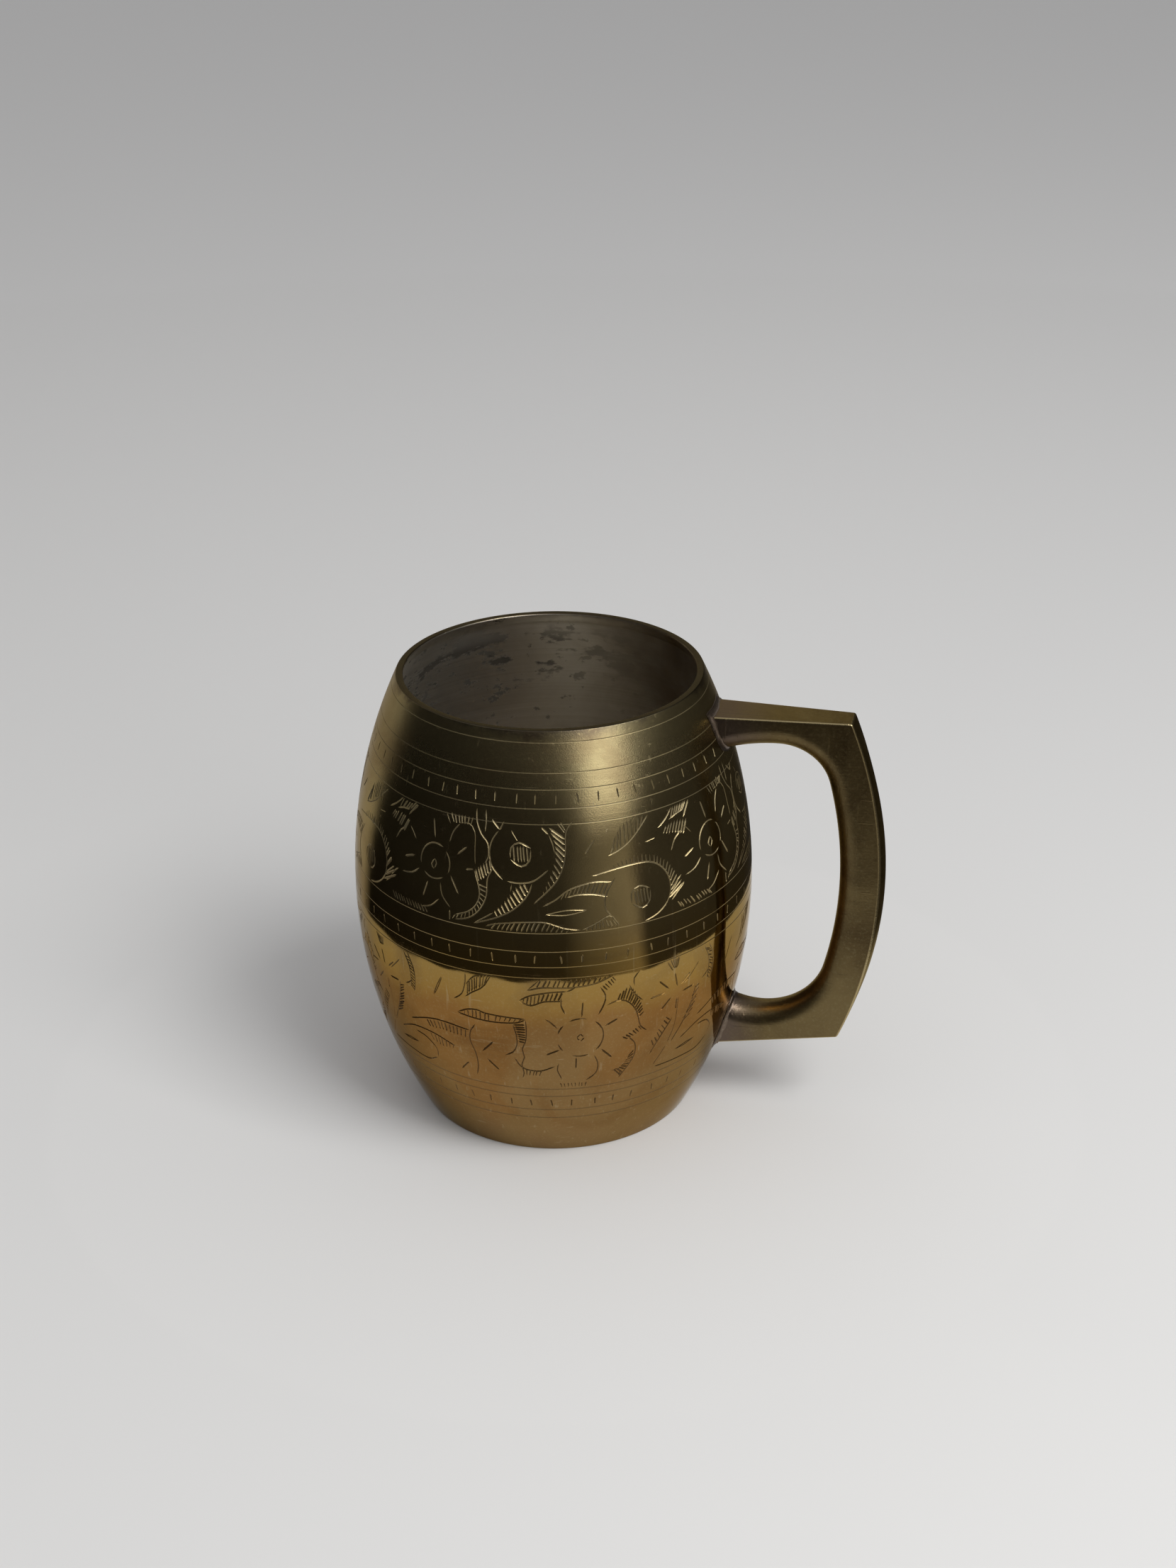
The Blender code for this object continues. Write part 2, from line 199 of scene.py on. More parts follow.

# Colours of the barrel; shades go by the share of its height, with a painted reflection below the belly
BARREL_TONES_WITH_PAINTED_REFLECTION = (
    (0.00, (0.26, 0.160, 0.080)),
    (0.12, (0.285, 0.153, 0.053)),
    # The step from 0.385 to 0.43 is a painted reflection's edge: the darker copper under it is painted shade,
    # the golden band over it a painted reflection
    (0.385, (0.285, 0.142, 0.040)),
    (0.43, (0.34, 0.20, 0.052)),
    (0.52, (0.36, 0.24, 0.075)),
    (0.62, (0.35, 0.27, 0.130)),
    (0.985, (0.35, 0.29, 0.155)),
    (1.00, (0.15, 0.125, 0.085)),
)
TARNISH_SHADES = ((0.40, (0.15, 0.072, 0.024)), (0.60, (0.20, 0.130, 0.065)))
CLOUDED_BRASS = (0.31, 0.205, 0.085)
FLECK = (0.48, 0.38, 0.19)
SCRATCH = (0.55, 0.46, 0.28)
# Colours in the cuts, by height: dirt and painted shade below the belly, pale residue with a painted
# highlight above it, dirt and painted shade in the rings near the rim
CUT_DIRT_AND_SHADE = (0.045, 0.026, 0.011)
PALE_CUT_AND_HIGHLIGHT = (0.19, 0.160, 0.105)
RIM_CUT_DIRT_AND_SHADE = (0.035, 0.028, 0.014)
CUT_DIRT_AND_LIGHT_SHADES = ((0.46, CUT_DIRT_AND_SHADE), (0.54, PALE_CUT_AND_HIGHLIGHT), (0.868, PALE_CUT_AND_HIGHLIGHT), (0.888, RIM_CUT_DIRT_AND_SHADE))
DARK_LIP_TOP = (0.040, 0.034, 0.024)
BARREL_SHEEN = (0.74, 0.67, 0.54, 1.0)

# Below the mug's top: where the lip's near-black top starts and where it is full
DARK_LIP_START = 0.00022
DARK_LIP_FULL = 0.00004

# Colours of the handle, the braze, the bottom and the solder
CAST_BRASS = (0.180, 0.133, 0.060)
DARK_CAST = (0.098, 0.068, 0.031)
CAST_GRAIN = (0.28, 0.23, 0.12)
CAST_SHEEN = (0.80, 0.70, 0.50, 1.0)
HEAT_TINT = (0.13, 0.098, 0.09)
HEAT_REACH = (0.056, 0.0455)
WORN_ARRIS = (0.45, 0.36, 0.19)
BRAZE = (0.20, 0.155, 0.115)
DARK_BRAZE = (0.16, 0.115, 0.095)
BRAZE_GRAIN = (0.34, 0.29, 0.22)
PLATE = (0.34, 0.25, 0.12)
DARK_PLATE = (0.19, 0.13, 0.07)
SOLDER = (0.46, 0.45, 0.44)
DARK_SOLDER = (0.34, 0.33, 0.33)

# Floor and card; the card's profile is (radius, height), its shades go by the share of a turn
FLOOR_RADIUS = 6.0
FLOOR_COLOUR = (0.76, 0.755, 0.74, 1.0)
FLOOR_ROUGHNESS = 0.8
CARD_CENTRE = Vector((0.002, 0.0, 0.0))
CARD_PROFILE = ((0.1355, 0.0015), (0.95, 0.02), (0.95, 1.0))
CARD_ROUGHNESS = 1.0
CARD_BLACK = (0.003, 0.0025, 0.002)
CARD_PALE = (0.66, 0.63, 0.58)
# The card is seen only in the metal, so its shades are painted reflections: black on the left, dark at the
# front, a pale strip at the front right, dark on the right, pale behind
CARD_PAINTED_REFLECTIONS = (
    (0.00, CARD_BLACK),
    (0.25, (0.030, 0.0270, 0.0225)),
    (0.30, (0.035, 0.0320, 0.0270)),
    (0.33, (0.150, 0.1400, 0.1200)),
    (0.40, (0.360, 0.3300, 0.2800)),
    (0.415, (0.050, 0.0460, 0.0390)),
    (0.70, (0.030, 0.0275, 0.0230)),
    (0.755, CARD_PALE),
    (0.945, CARD_PALE),
    (0.972, CARD_BLACK),
)

# Shades of the surroundings, from below to above
SURROUND_SPAN = (-0.2, 1.0)
SURROUND_SHADES = (
    (0.0, (0.50, 0.49, 0.48)),
    (0.3, (0.46, 0.46, 0.46)),
    (0.55, (0.40, 0.40, 0.41)),
    (1.0, (0.46, 0.46, 0.47)),
)

# Lamps: name, azimuth and elevation in degrees, distance, size and power
LAMPS = (
    ("high_softbox", 60.0, 52.0, 1.5, (0.7, 0.7), 12.0),
    ("side_panel", 47.0, 28.0, 0.8, (0.36, 0.40), 0.95),
)
LAMP_AIM = Vector((0.0, 0.0, 0.07))

# Camera, found from the mug's outline in the photo
IMAGE_SIZE = (1659, 2212)
FOCAL_PIXELS = 3102.5
CAMERA_AZIMUTH = 13.5
CAMERA_DISTANCE = 0.4966
CAMERA_HEIGHT = 0.3260
CAMERA_PITCH = 25.878
CAMERA_ROLL = -0.653
CAMERA_YAW = 1.034
CAMERA_CLIP = 0.01


# Shape rules of the barrel, the same as in the solids


def between(start, end, steps):
    """Evenly spaced values from start to end, both included."""
    return [start + (end - start) * i / steps for i in range(steps + 1)]


def on_circle(centre, radius, angle):
    """Point of a circle in the profile plane."""
    return centre[0] + radius * math.cos(angle), centre[1] + radius * math.sin(angle)


def arc_radius(rise, inset):
    """Radius of an arc that starts upright and moves in by inset over rise."""
    return (rise * rise + inset * inset) / (2 * inset)


UPPER_ARC = arc_radius(MUG_HEIGHT - BELLY_HEIGHT, BELLY_RADIUS - RIM_RADIUS)
LOWER_ARC = arc_radius(BELLY_HEIGHT, BELLY_RADIUS - FOOT_RADIUS)
FLOOR_SEAT = BASE_INSET + BASE_THICKNESS + FIT_GAP
LINING_DEPTH = SHELL_WALL + FIT_GAP


def barrel_arc(z):
    """Radius of the side's arc above or below the belly."""
    return UPPER_ARC if z > BELLY_HEIGHT else LOWER_ARC


def barrel_radius(z, depth=0.0):
    """Radius at height z of the surface that lies depth inside the barrel's outer one."""
    arc = barrel_arc(z)
    return BELLY_RADIUS - arc + math.sqrt((arc - depth) ** 2 - (z - BELLY_HEIGHT) ** 2)


def barrel_slope(z, depth=0.0):
    """Angle of the outward normal above the horizontal."""
    return math.asin((z - BELLY_HEIGHT) / (barrel_arc(z) - depth))


# Objects


def new_object(name, mesh, material):
    """A finished piece with one material."""
    piece = bpy.data.objects.new(name, mesh)
    bpy.context.scene.collection.objects.link(piece)
    mesh.materials.append(material)
    return piece


def mesh_from(bm, name):
    """A smoothly shaded mesh; the bmesh is used up."""
    mesh = bpy.data.meshes.new(name)
    bm.to_mesh(mesh)
    bm.free()
    mesh.shade_smooth()
    return mesh


def creased(bm, name, angle):
    """A mesh with sharp edges past an angle in degrees."""
    mesh = mesh_from(bm, name)
    mesh.set_sharp_from_angle(angle=math.radians(angle))
    return mesh


def face_outwards(bm):
    """Makes all faces of a closed shape point outwards."""
    bmesh.ops.recalc_face_normals(bm, faces=bm.faces)
    if bm.calc_volume(signed=True) < 0:
        bmesh.ops.reverse_faces(bm, faces=bm.faces)


def spin_chain(bm, chain, centre, steps):
    """Turns a chain of points once round an upright axis."""
    points = [bm.verts.new(point) for point in chain]
    edges = [bm.edges.new(pair) for pair in zip(points, points[1:])]
    bmesh.ops.spin(
        bm,
        geom=points + edges,
        axis=(0.0, 0.0, 1.0),
        cent=centre,
        angle=2 * math.pi,
        steps=steps,
        use_merge=True,
    )


def turn(bm, profile):
    """Turns a chain of (radius, height) points about Z, starting at the sheet's seam."""
    start = math.radians(SEAM_ANGLE - 90.0)
    cos, sin = math.cos(start), math.sin(start)
    spin_chain(bm, [(r * cos, r * sin, z) for r, z in profile], (0.0, 0.0, 0.0), GIRTH_STEPS)


def close_up(bm):
    """Merges the points that coincide and turns the faces outwards."""
    bmesh.ops.remove_doubles(bm, verts=bm.verts, dist=MERGE_DISTANCE)
    face_outwards(bm)


def loft(bm, rings, closed):
    """Skins rings of points with bridged loops."""
    loops = []
    for ring in rings:
        points = [bm.verts.new(p) for p in ring]
        loops.append([bm.edges.new(pair) for pair in zip(points, points[1:] + points[:1])])
    following = loops[1:] + loops[:1] if closed else loops[1:]
    for loop, after in zip(loops, following):
        bmesh.ops.bridge_loops(bm, edges=loop + after)
    return loops


def stand_in_for(piece, node):
    """Lets a finished piece take the place of a node of the solids."""
    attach(piece, "root")
    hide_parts(node)


# The engraver's cuts: each is a line of (girth mm, height mm) points with a width and a depth


class Engraving:
    """Collects the cuts of one sheet; a motif is placed by turning it round the girth."""

    def __init__(self):
        self.cuts = []
        self.turned = 0.0
        self.wobble = 0.0
        self.hand = random.Random(HAND_SEED)

    def place(self, turned, wobble):
        """Sets how far the next motif is turned and how much its cuts stray."""
        self.turned = turned
        self.wobble = wobble

    def spot(self, point):
        """A motif's (degrees, mm) point on the sheet, in mm both ways."""
        return np.array((math.radians(point[0] + self.turned) * BELLY_RADIUS / MM, point[1]))

    def shifted(self, points):
        """The same points as a hand would repeat them."""
        shift = np.array([self.hand.uniform(-self.wobble, self.wobble) for _ in range(2)])
        return [p + shift for p in points]

    def add(self, points, width, depth):
        """Takes up a cut, carried as a whole round the girth to its place on the sheet."""
        points = np.array(self.shifted(points))
        laps = math.floor(((points[0, 0] + points[-1, 0]) / 2 - SHEET_LEFT) / SHEET_GIRTH)
        points[:, 0] -= laps * SHEET_GIRTH
        self.cuts.append((points, width, depth))

    def line(self, *points, width=LINE_WIDTH):
        """A cut along a smooth curve through the points."""
        self.add(smooth([self.spot(p) for p in points]), width, LINE_DEPTH)

    def dash(self, start, end, width=HATCH_WIDTH, depth=HATCH_DEPTH):
        """A short straight cut, pointed at both ends, as a graver leaves it."""
        self.add(stroke(self.spot(start), self.spot(end)), width, depth)

    def dashes(self, *pairs):
        """Several short cuts, each given by its start and end."""
        for start, end in pairs:
            self.dash(start, end)

    def hatch(self, first, second, count, lean=0.0, reach=(0.0, 1.0)):
        """Short cuts from one edge of a leaf to the other."""
        near = smooth([self.spot(p) for p in first])
        far = smooth([self.spot(p) for p in second])
        for i in range(count):
            t = reach[0] + (reach[1] - reach[0]) * (i + 0.5) / count
            start = along(near, t + self.hand.uniform(-HATCH_STRAY, HATCH_STRAY) / count)
            end = along(far, min(max(t + lean, 0.0), 1.0))
            swell = self.hand.uniform(*HATCH_SWELL)
            if np.hypot(*(end - start)) > SHORTEST_HATCH:
                self.add(stroke(start, end), HATCH_WIDTH * swell, HATCH_DEPTH * swell)

    def leaf(self, first, second, count, lean=0.0):
        """A hatched leaf between two edges."""
        self.line(*first)
        self.line(*second)
        self.hatch(first, second, count, lean, LEAF_REACH)

    def arc(self, centre, radius, start, end, flatten=1.0):
        """Part of a circle; radius in mm, angles in degrees from the girth direction."""
        middle = self.spot(centre)
        steps = max(4, int(abs(math.radians(end - start)) * radius / CURVE_STEP))
        spots = []
        for a in between(math.radians(start), math.radians(end), steps):
            spots.append(middle + radius * np.array((math.cos(a), math.sin(a) * flatten)))
        self.add(spots, LINE_WIDTH, LINE_DEPTH)

    def seed(self, start, end, belly):
        """Two cuts that bow apart, for a vein or a seed."""
        middle = ((start[0] + end[0]) / 2, (start[1] + end[1]) / 2)
        for side in (-1, 1):
            self.line(start, (middle[0], middle[1] + side * belly), end, width=LINE_WIDTH * VEIN_SHARE)

    def oval(self, centre, half_angle, half_height, count):
        """An uneven oval with upright hatching."""

        def corner(across, up):
            return centre[0] + across * half_angle, centre[1] + up * half_height

        corners = [corner(*shares) for shares in OVAL_CORNERS]
        self.line(*corners[:4])
        self.line(*corners[3:], corners[0])
        for step in between(*OVAL_HATCH, count - 1):
            self.dash(corner(step + OVAL_LEAN, OVAL_ENDS[0]), corner(step - OVAL_LEAN, OVAL_ENDS[1]))


def stroke(start, end):
    """Points of a short straight cut: full width from soon after its start to just before its end."""
    shoulders = [start * (1 - share) + end * share for share in STROKE_SHOULDERS]
    return [start, *shoulders, end]


def smooth(points):
    """Points along a curve through the given ones, evenly spaced."""
    if len(points) == 2:
        return [points[0], (points[0] + points[1]) / 2, points[1]]
    ends = [2 * points[0] - points[1], *points, 2 * points[-1] - points[-2]]
    path = [points[0]]
    for before, start, end, after in zip(ends, ends[1:], ends[2:], ends[3:]):
        steps = max(2, int(np.hypot(*(end - start)) / CURVE_STEP))
        for t in between(0.0, 1.0, steps)[1:]:
            pull = (end - before) * t + (2 * before - 5 * start + 4 * end - after) * t * t
            path.append(start + (pull + (3 * (start - end) + after - before) * t**3) / 2)
    return path


def along(path, share):
    """The point at a share of a path's length."""
    path = np.array(path)
    lengths = np.concatenate(([0.0], np.cumsum(np.hypot(*np.diff(path, axis=0).T))))
    at = min(max(share, 0.0), 1.0) * lengths[-1]
    return np.array([np.interp(at, lengths, path[:, i]) for i in range(2)])


def engrave_upper_unit(cut):
    """Flower, roundel, bud and teardrop between the two upper rings."""
    engrave_round_flower(cut)
    engrave_roundel(cut)
    engrave_bud(cut)
    engrave_teardrop(cut)


def engrave_round_flower(cut):
    """Five-petalled flower with a ring heart, and the hatched sickle leaf on its right."""
    heart = (-21.8, 84.6)
    cut.arc(heart, 4.5, 200, 62)
    cut.arc(heart, 4.5, 48, -28)
    cut.arc(heart, 4.5, -52, -135, 0.9)
    cut.line((-22.0, 82.9), (-23.0, 84.0), (-21.9, 85.5))
    cut.line((-22.0, 82.9), (-21.2, 84.2), (-21.9, 85.5))
    cut.dashes(
        ((-22.4, 90.2), (-23.7, 94.8)),
        ((-14.7, 87.8), (-11.7, 90.1)),
        ((-11.8, 84.7), (-9.4, 85.1)),
        ((-16.5, 82.6), (-13.6, 78.2)),
        ((-23.9, 79.4), (-25.4, 75.2)),
        ((-29.3, 84.6), (-33.2, 83.3)),
    )
    cut.line((-14.6, 95.1), (-16.6, 92.9), (-17.6, 90.1))
    cut.line((-14.6, 95.1), (-11.8, 95.6), (-9.7, 93.8), (-9.3, 89.5), (-9.0, 86.0), width=FAINT_WIDTH)
    cut.line((-19.7, 80.2), (-18.9, 77.0), (-16.0, 74.2))
    cut.line((-34.0, 79.2), (-30.0, 80.0), (-27.3, 81.8))
    cut.line((-33.6, 90.3), (-36.2, 88.8), (-38.0, 86.2))
    cut.line((-32.4, 91.0), (-31.0, 90.0), (-29.4, 88.4), width=FAINT_WIDTH)
    cut.line((-38.6, 76.6), (-36.8, 78.6), (-35.4, 79.5))
    cut.line((-26.2, 72.3), (-22.6, 73.4), (-19.8, 75.8))
    cut.hatch(((-36.6, 71.3), (-23.0, 71.3)), ((-38.0, 73.2), (-24.4, 73.0)), 12)
    cut.line((-19.6, 97.2), (-17.6, 94.4))
    cut.hatch(((-18.2, 97.2), (-10.0, 97.2)), ((-17.0, 95.0), (-10.6, 95.4)), 7)
    cut.line((-9.3, 85.0), (-8.2, 82.6), (-7.4, 79.5), (-8.3, 76.6), (-10.8, 74.4), (-14.8, 72.9))
    cut.line((-3.7, 86.0), (-5.2, 83.4), (-5.4, 79.3), (-7.2, 75.6), (-10.4, 73.0), (-14.8, 71.8))
    cut.hatch(((-9.3, 85.2), (-6.8, 86.8), (-4.4, 88.4)), ((-8.2, 82.4), (-6.0, 83.4), (-3.9, 85.6)), 6)
    cut.hatch(
        ((-8.0, 82.2), (-7.4, 79.5), (-8.3, 76.6), (-10.8, 74.4), (-15.0, 72.9)),
        ((-5.3, 82.6), (-5.4, 79.3), (-7.2, 75.6), (-10.4, 73.0), (-15.4, 71.8)),
        13,
        0.05,
    )
    cut.dash((-16.2, 73.8), (-16.2, 71.2))


def engrave_roundel(cut):
    """Round fruit with a hatched oval, the stems beside it and the leaves that hold it."""
    cut.line((-9.7, 99.4), (-9.2, 96.3), (-7.6, 93.6), (-5.5, 91.6), (-5.2, 88.4), (-6.4, 86.8))
    cut.line((-6.7, 99.4), (-6.3, 97.0), (-6.5, 94.2))
    cut.line((-2.2, 95.0), (-4.0, 92.8), (-4.7, 90.0), (-3.8, 86.6), (-0.6, 83.5))
    cut.line((0.4, 83.3), (4.0, 83.0), (8.0, 83.7), (12.2, 86.4))
    cut.line((12.1, 94.8), (13.4, 92.4), (13.9, 90.0))
    cut.dash((-2.0, 95.1), (-4.6, 97.3))
    cut.dash((-2.1, 95.1), (-1.0, 97.1))
    cut.dash((1.4, 95.2), (3.3, 92.9), FAINT_WIDTH, LINE_DEPTH * 0.6)
    cut.oval((4.2, 89.8), 2.9, 2.75, 5)
    cut.dash((12.2, 94.7), (10.1, 96.3))
    cut.line((19.4, 97.5), (17.2, 95.0), (16.9, 91.0), (16.3, 87.6), (14.6, 84.2), (12.4, 81.8), (7.8, 78.0))
    cut.hatch(
        ((11.9, 96.8), (13.4, 93.2), (13.8, 90.0), (13.4, 87.5), (12.2, 84.6), (10.2, 80.6)),
        ((16.8, 94.6), (16.9, 91.0), (16.3, 87.8), (15.0, 84.9), (12.6, 82.0), (10.4, 79.9)),
        12,
        0.03,
    )
    cut.hatch(((14.2, 97.2), (16.0, 97.4)), ((16.6, 94.8), (17.2, 95.6)), 2)
    cut.line((7.4, 83.2), (6.7, 80.9), (4.7, 78.4), (2.0, 76.2), (-1.0, 74.6), (-4.0, 73.4), (-9.0, 71.7))
    cut.line((-3.2, 75.2), (-6.0, 73.5), (-9.0, 71.7))
    cut.line((1.8, 82.7), (1.5, 80.6))
    cut.hatch(
        ((5.8, 83.3), (3.6, 82.8), (2.0, 81.4), (0.3, 79.2), (-1.6, 77.0), (-3.4, 75.4)),
        ((6.7, 81.4), (5.4, 79.6), (4.4, 78.4), (2.0, 76.5), (-0.5, 75.0), (-2.6, 74.0)),
        10,
    )


def engrave_bud(cut):
    """Seed bud with its leaf above, and the hatched ground leaf below."""
    cut.line((-5.6, 71.4), (-2.5, 72.4), (3.0, 73.2), (7.5, 73.5), (11.2, 73.4), (16.0, 71.9), (20.5, 71.2))
    cut.hatch(((-4.4, 70.9), (17.0, 70.9)), ((-3.2, 72.3), (3.0, 73.2), (11.4, 73.4), (18.2, 71.6)), 16)
    cut.line((20.6, 71.2), (24.0, 72.4), (28.2, 74.1), (29.6, 73.0), (31.0, 71.1))
    cut.hatch(((21.4, 70.9), (31.0, 70.9)), ((22.6, 71.9), (26.0, 73.2), (29.6, 73.0)), 8)
    cut.seed((11.0, 75.5), (22.3, 76.2), 0.55)
    cut.line((10.2, 77.5), (13.6, 79.0), (17.0, 81.2), (20.5, 82.3), (25.0, 82.9), (29.4, 82.4))
    cut.line((16.6, 79.7), (20.0, 80.2), (24.0, 80.0), (28.0, 79.0))
    cut.hatch(
        ((15.6, 80.4), (20.5, 82.3), (25.0, 82.9), (29.2, 82.4)),
        ((14.6, 79.0), (20.0, 80.2), (27.2, 79.3)),
        11,
    )
    cut.line((30.6, 83.2), (28.4, 80.6), (27.3, 77.8), (27.7, 75.4), (29.2, 73.9))


def engrave_teardrop(cut):
    """Teardrop fruit under a hatched crest, with the leaves that lead to the next flower."""
    teardrop = ((24.0, 84.3), (30.0, 85.2), (36.0, 85.6), (41.0, 85.2), (44.5, 83.4), (46.8, 80.4))
    teardrop += ((47.2, 77.0), (45.8, 74.2), (42.5, 72.0), (38.4, 70.9))
    cut.line(*teardrop)
    crest = ((29.0, 86.2), (36.5, 87.6), (42.5, 86.7), (46.8, 84.4), (49.2, 81.6), (50.8, 79.2), (52.2, 77.5))
    cut.hatch(teardrop[1:8], crest, 22, 0.02)
    cut.line((52.2, 77.5), (49.6, 76.0), (47.4, 74.3))
    cut.oval((37.9, 77.4), 2.9, 2.8, 5)
    cut.line((29.0, 88.7), (33.0, 89.9), (37.0, 92.0), (42.6, 96.3))
    cut.hatch(
        ((30.8, 90.0), (31.8, 93.2), (34.2, 95.6), (37.4, 96.5), (41.6, 96.5)),
        ((29.6, 88.9), (33.0, 89.9), (37.0, 92.0), (42.4, 96.1)),
        11,
        -0.20,
    )
    cut.dash((25.3, 92.9), (22.2, 89.6))
    cut.dash((40.2, 90.2), (43.7, 90.6), FAINT_WIDTH, LINE_DEPTH * 0.7)
    cut.line((45.2, 92.5), (48.4, 94.2), (51.0, 96.2))
    cut.line((49.4, 93.6), (52.0, 94.3), (55.2, 94.7))
    cut.dash((54.9, 92.9), (58.0, 96.2))
    cut.hatch(((51.2, 96.4), (58.4, 96.4)), ((49.8, 93.9), (56.2, 94.6)), 7)
    cut.hatch(((47.8, 92.4), (51.4, 93.0), (56.4, 92.4)), ((46.4, 91.0), (50.0, 90.2), (54.4, 89.0)), 8)


def engrave_lower_unit(cut):
    """Daisy, sprays, small flower and large flower between the two lower rings."""
    engrave_daisy(cut)
    engrave_sprays(cut)
    engrave_small_flower(cut)
    engrave_large_flower(cut)


def engrave_daisy(cut):
    """Open daisy without a heart, and the hatched band on its right."""
    cut.dashes(
        ((-46.0, 50.4), (-49.5, 53.6)),
        ((-43.3, 50.2), (-44.4, 54.6)),
        ((-41.8, 50.3), (-38.6, 52.8)),
        ((-47.2, 49.5), (-52.0, 49.1)),
        ((-45.2, 47.4), (-48.6, 44.4)),
        ((-41.2, 47.8), (-36.8, 48.2)),
        ((-42.9, 46.8), (-43.0, 43.4)),
    )
    cut.line((-40.4, 50.4), (-37.6, 52.8), (-35.2, 55.0))
    cut.line((-33.6, 48.8), (-32.0, 49.6), (-30.4, 51.0))
    cut.line((-55.4, 58.2), (-57.2, 56.4), (-57.0, 54.0))
    cut.hatch(((-47.4, 58.4), (-42.4, 58.5)), ((-45.2, 55.4), (-43.2, 55.6)), 6)
    cut.leaf(
        ((-33.2, 58.2), (-31.2, 54.6), (-31.0, 51.0), (-31.4, 48.2)),
        ((-31.8, 58.6), (-29.6, 54.6), (-29.4, 51.0), (-30.2, 47.4)),
        11,
        0.05,
    )


def engrave_sprays(cut):
    """Feathered leaves that rise to the left and right below the daisy."""
    cut.line((-44.6, 33.2), (-42.8, 38.4), (-42.4, 46.8), width=FAINT_WIDTH)
    cut.line((-50.6, 31.4), (-47.4, 36.4), (-44.0, 41.0))
    cut.hatch(((-49.6, 33.0), (-46.8, 37.2), (-44.0, 41.0)), ((-50.6, 35.4), (-48.4, 39.2), (-45.8, 42.4)), 7)
    cut.line((-43.6, 33.4), (-39.4, 39.6), (-37.2, 44.6), (-36.4, 48.4))
    cut.hatch(
        ((-40.6, 37.6), (-37.8, 42.8), (-36.6, 47.4)),
        ((-38.0, 38.4), (-35.6, 43.0), (-34.6, 47.6)),
        10,
        0.1,
    )
    cut.line((-40.0, 33.2), (-33.0, 36.0), (-25.0, 36.4), (-17.6, 34.6))
    cut.hatch(((-27.0, 36.4), (-22.0, 36.1), (-17.8, 34.8)), ((-26.0, 34.2), (-22.0, 33.2), (-18.2, 33.6)), 7)
    cut.line((-34.0, 38.0), (-26.0, 40.8), (-20.0, 41.6), (-12.0, 41.1))
    cut.hatch(
        ((-27.6, 40.5), (-20.0, 41.6), (-12.6, 41.1)),
        ((-26.4, 38.2), (-20.0, 38.8), (-13.2, 38.4)),
        11,
    )
    cut.line((-48.0, 26.8), (-38.0, 26.5), (-30.4, 26.4), (-25.8, 28.4))
    cut.line((-25.8, 28.4), (-25.4, 31.4), (-28.6, 34.0), (-33.0, 34.6))
    cut.seed((-41.0, 30.0), (-32.8, 30.8), 0.3)
    cut.line((-48.6, 27.4), (-46.4, 30.4), (-44.6, 33.2))
    cut.seed((-22.8, 49.0), (-19.4, 55.2), 0.3)


def engrave_small_flower(cut):
    """Half-hidden flower between a pointed leaf above and a hatched sickle on its right."""
    cut.line((-16.0, 49.8), (-13.2, 52.0), (-12.0, 55.4), (-11.8, 58.4))
    cut.leaf(
        ((-12.4, 51.2), (-10.0, 53.0), (-7.6, 54.4), (-5.4, 56.6)),
        ((-12.1, 54.6), (-9.6, 57.4), (-6.4, 58.4), (-3.4, 58.6)),
        9,
    )
    cut.line((-15.2, 46.1), (-12.0, 47.6), (-9.0, 48.0), (-6.0, 47.4), (4.8, 46.9))
    cut.line((-15.2, 46.0), (-10.0, 45.4), (-4.4, 45.2), (2.0, 45.7), (4.8, 46.8))
    cut.hatch(
        ((-13.6, 47.0), (-9.0, 48.0), (-5.0, 47.3)),
        ((-14.0, 45.9), (-9.6, 45.4), (-5.4, 45.2)),
        7,
        0.04,
    )
    cut.hatch(((-4.0, 47.3), (4.4, 46.9)), ((-4.6, 45.4), (3.4, 46.0)), 6)
    cut.line((-9.8, 43.6), (-11.6, 41.2), (-12.2, 38.2), (-11.0, 34.4), (-10.8, 30.4), (-11.8, 26.8))
    cut.line((1.2, 45.2), (2.0, 42.2), (2.1, 39.0), (0.8, 36.6), (-1.8, 35.2))
    cut.hatch(((1.2, 45.4), (2.0, 42.2), (2.4, 39.8)), ((4.7, 46.0), (4.8, 43.0), (4.6, 39.8)), 8, 0.06)
    sickle = ((4.8, 46.8), (4.9, 43.4), (4.5, 40.0), (3.4, 37.6))
    sickle += ((3.9, 35.0), (3.0, 32.6), (3.4, 29.6), (2.8, 28.0))
    cut.line(*sickle)
    cut.dashes(
        ((-8.8, 35.2), (-4.9, 39.0)),
        ((-7.7, 33.3), (-4.1, 29.9)),
        ((-17.1, 27.4), (-13.9, 30.5)),
    )
    cut.line((1.0, 35.0), (2.0, 33.0), (4.0, 31.3), (8.4, 30.8), (12.8, 32.4))
    cut.hatch(((3.8, 31.2), (9.4, 30.8)), ((3.6, 29.0), (8.4, 29.0)), 5)


